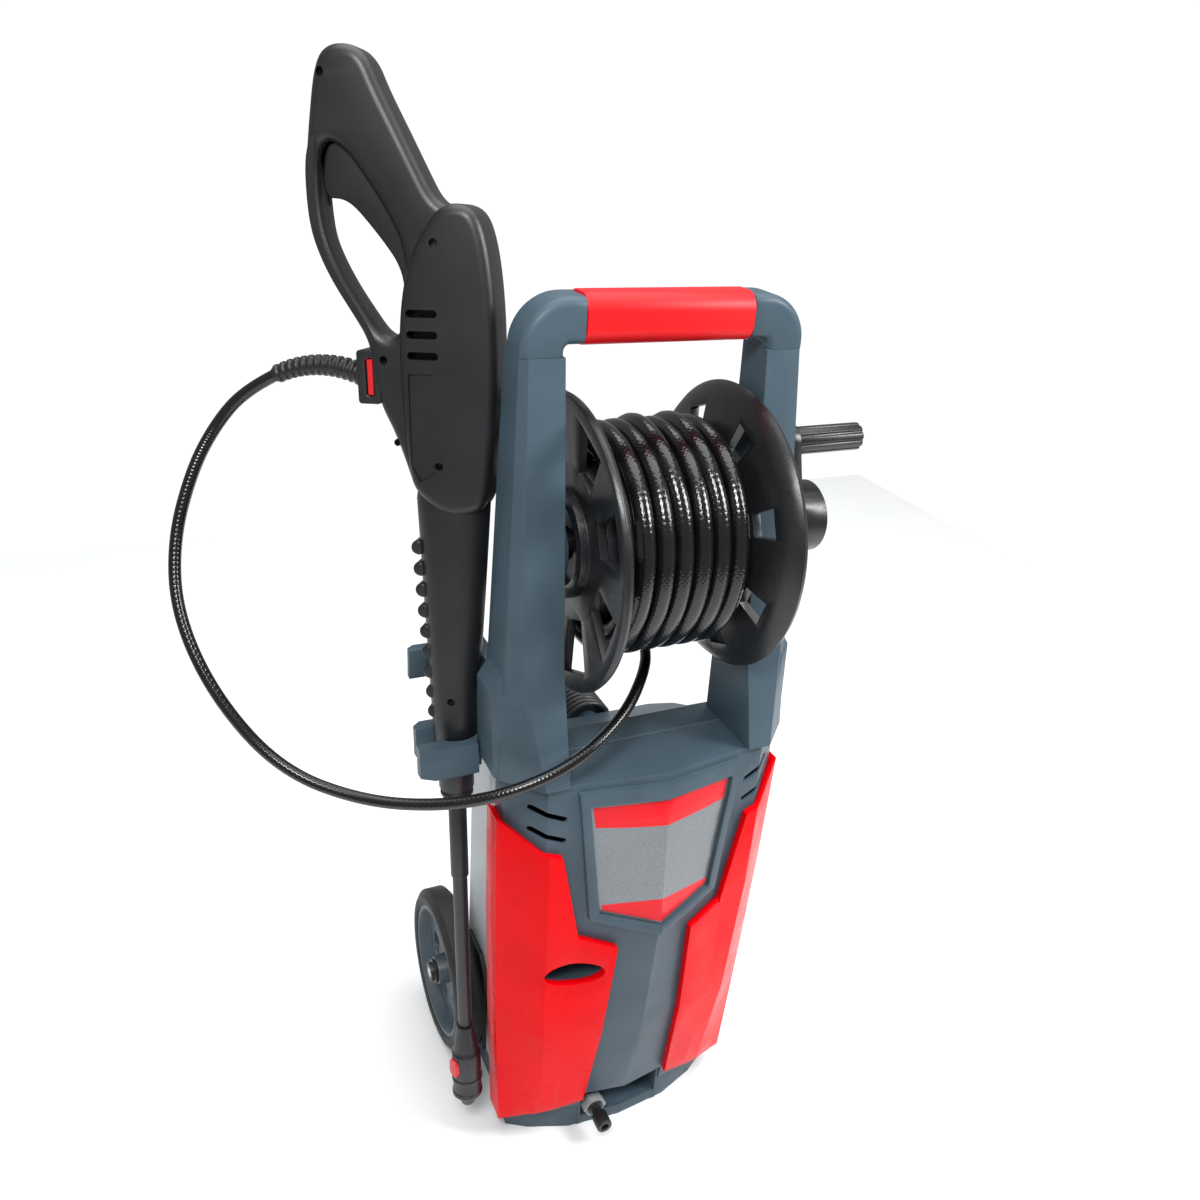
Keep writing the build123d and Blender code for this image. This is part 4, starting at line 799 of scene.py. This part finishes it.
# %% Wells, slots and the sunk panel
GRIP_HALF, COVER_HALF, SHELL_EDGE = 17.5, 23.0, 9.0
TRIGGER_SPACE = 9.0
WELL_RADIUS, WELL_FLOOR, FORE_WELL_FLOOR, PANEL_FLOOR = 3.6, 10.0, 14.0, 20.6
SLOT_FLOOR = 11.0
OUTSIDE = 30.0
grip_wells = [(85, 607), (45, 388), (38, 318)]
cover_wells = [(-4, 482), (-2, 301)]
fore_well = (-4, 79)
SLOT_ROWS = (427, 410, 393)


def slot_outline(u_low, u_high, v, half, steps=8):
    """Outline of a slot with round ends, in the gun's frame."""
    ends = []
    for centre, start in ((u_high - half, -pi / 2), (u_low + half, pi / 2)):
        for step in range(steps + 1):
            angle = start + pi * step / steps
            ends.append((centre + half * cos(angle), v + half * sin(angle)))
    return ends


def slot_cutters():
    return [prism(slot_outline(-5, 22, v, 3.2), -OUTSIDE, -SLOT_FLOOR) for v in SLOT_ROWS]


def well_cutters(wells, floor):
    return [round_cutter(u, v, WELL_RADIUS, -OUTSIDE, -floor) for u, v in wells]


trigger_room = [
    (95, 510), (98, 548), (82, 574), (52, 556), (26, 520), (6, 494), (-2, 470), (-4, 440), (12, 426),
    (36, 430), (40, 460),
]
grip_cuts = [prism(trigger_room, -TRIGGER_SPACE, TRIGGER_SPACE)] + slot_cutters()
grip_body = carve(rounded_plate([grip_outline, guard_hole], GRIP_HALF, SHELL_EDGE),
                  grip_cuts + well_cutters(grip_wells, WELL_FLOOR))
sunk_panel = [(0, 379), (22, 378), (23, 300), (15, 286), (2, 294)]
cover_cuts = slot_cutters() + [prism(sunk_panel, -OUTSIDE, -PANEL_FLOOR)]
cover_body = carve(rounded_plate([cover_outline], COVER_HALF, SHELL_EDGE),
                   cover_cuts + well_cutters(cover_wells, WELL_FLOOR))
fore_end = carve(fore_end, well_cutters([fore_well], FORE_WELL_FLOOR))


def finger_rib(v, edge):
    """Rib that stands out of the fore-end's side at a height v; edge is how far that side reaches."""
    outline = [(edge - 9, v - 8), (edge + 1.6, v - 5), (edge + 1.6, v + 5), (edge - 9, v + 8)]
    return rounded_plate([outline], 13.0, 2.4)


FINGER_RIBS, FIRST_RIB, RIB_PITCH = 9, 64, 20
FIRST_EDGE, EDGE_STEP = 20.6, 1.05
finger_ribs = [finger_rib(FIRST_RIB + RIB_PITCH * number, FIRST_EDGE + EDGE_STEP * number)
               for number in range(FINGER_RIBS)]
parts_of_gun = [grip_body, cover_body, fore_end] + finger_ribs
print("faces of grip and cover:", len(grip_body.faces), len(cover_body.faces))

# %% Near and far halves
gun_halves = {}
for word, keep in (("near", -1), ("far", 1)):
    whole = bmesh.new()
    for part in parts_of_gun:
        half = half_of(part, keep)
        piece_mesh = bpy.data.meshes.new("half")
        half.to_mesh(piece_mesh)
        half.free()
        whole.from_mesh(piece_mesh)
        bpy.data.meshes.remove(piece_mesh)
    for face in whole.faces:
        face.smooth = True
    bmesh.ops.transform(whole, matrix=gun_frame, verts=whole.verts)
    shell = place_mesh("gun_half_" + word, whole)
    shell.data.materials.append(gun_nylon)
    shell.data.set_sharp_from_angle(angle=radians(40))
    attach(shell, "spray_gun")
    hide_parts("gun_shell_" + word)
    gun_halves[word] = shell
for part in parts_of_gun:
    part.free()
print("gun halves:", [len(half.data.polygons) for half in gun_halves.values()])

# %% [markdown]
# A dark screw sits in each well of the grip and the cover, with a cross in its head.

# %% Screws in their wells
screw_heads = bmesh.new()
HEAD_HEIGHT, CROSS_DEPTH = 2.4, 1.4
CROSS_LONG, CROSS_NARROW = 1.9, 0.45
for u, v in grip_wells + cover_wells:
    head_top = -WELL_FLOOR - HEAD_HEIGHT
    head = round_cutter(u, v, WELL_RADIUS - 0.5, head_top, WELL_FLOOR - 4.0, segments=20)
    cross = [prism([(u - a, v - b), (u + a, v - b), (u + a, v + b), (u - a, v + b)],
                   head_top - 0.6, head_top + CROSS_DEPTH)
             for a, b in ((CROSS_LONG, CROSS_NARROW), (CROSS_NARROW, CROSS_LONG))]
    sunk = carve(head, cross)
    sunk_mesh = bpy.data.meshes.new("screw")
    sunk.to_mesh(sunk_mesh)
    sunk.free()
    screw_heads.from_mesh(sunk_mesh)
    bpy.data.meshes.remove(sunk_mesh)
bmesh.ops.transform(screw_heads, matrix=gun_frame, verts=screw_heads.verts)
well_screws = place_mesh("well_screws", screw_heads)
well_screws.data.materials.append(black_steel)
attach(well_screws, "spray_gun")
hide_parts("gun_screws")
print("screws:", len(grip_wells + cover_wells))

# %% [markdown]
# The trigger is a long curved lever with a flat free end, and a rounded plate too. It hangs in the guard.

# %% Trigger
trigger_outline = [
    (32, 436), (27, 446), (31, 464), (42, 480), (56, 497), (68, 510), (78, 515), (91, 515), (93, 530),
    (88, 556), (74, 560), (58, 545), (42, 524), (28, 504), (14, 484), (5, 466), (3, 448), (14, 434),
]
trigger_bm = rounded_plate([trigger_outline], 8.0, 2.6)
for face in trigger_bm.faces:
    face.smooth = True
bmesh.ops.transform(trigger_bm, matrix=gun_frame, verts=trigger_bm.verts)
trigger_lever = place_mesh("trigger_lever", trigger_bm)
trigger_lever.data.materials.append(gun_nylon)
trigger_lever.data.set_sharp_from_angle(angle=radians(40))
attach(trigger_lever, "gun_trigger")
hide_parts("trigger")
print("trigger faces:", len(trigger_lever.data.polygons))

# %% [markdown]
# The strain relief is a flexible sleeve with thirteen ribs that lets the hose bend gently. A curve whose
# points swell and shrink in radius draws the ribs straight from their spacing.

# %% Ribbed strain relief
relief_start, relief_finish = (70.3, 373.0), (152.0, 370.0)
RELIEF_RISE = 8.6
RELIEF_RADIUS, RELIEF_TAPER = 10.2, 2.2
RELIEF_RIBS = 13
STEPS_PER_RIB = 10
RIB_FROM, RIB_TO, GROOVE_SHARE = 0.15, 0.70, 0.80
relief_curve = bpy.data.curves.new("relief_sleeve", "CURVE")
relief_curve.dimensions = "3D"
relief_curve.bevel_depth = 1.0
relief_curve.bevel_resolution = 6
relief_curve.use_fill_caps = True
relief_spline = relief_curve.splines.new("POLY")
relief_steps = RELIEF_RIBS * STEPS_PER_RIB
relief_spline.points.add(relief_steps)
for step, point in enumerate(relief_spline.points):
    share = step / relief_steps
    u = relief_start[0] + (relief_finish[0] - relief_start[0]) * share
    v = relief_start[1] + (relief_finish[1] - relief_start[1]) * share + RELIEF_RISE * 4 * share * (1 - share)
    place = gun_frame @ Vector((u * MM, v * MM, 0))
    rib = (step % STEPS_PER_RIB) / STEPS_PER_RIB
    swell = 1.0 if RIB_FROM < rib < RIB_TO else GROOVE_SHARE
    point.co = (*place, 1.0)
    point.radius = (RELIEF_RADIUS - RELIEF_TAPER * share) * swell * MM
relief_sleeve = bpy.data.objects.new("relief_sleeve", relief_curve)
bpy.context.scene.collection.objects.link(relief_sleeve)
relief_sleeve.data.materials.append(gun_nylon)
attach(relief_sleeve, "spray_gun")
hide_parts("hose_relief")
print("ribs on the strain relief:", RELIEF_RIBS)
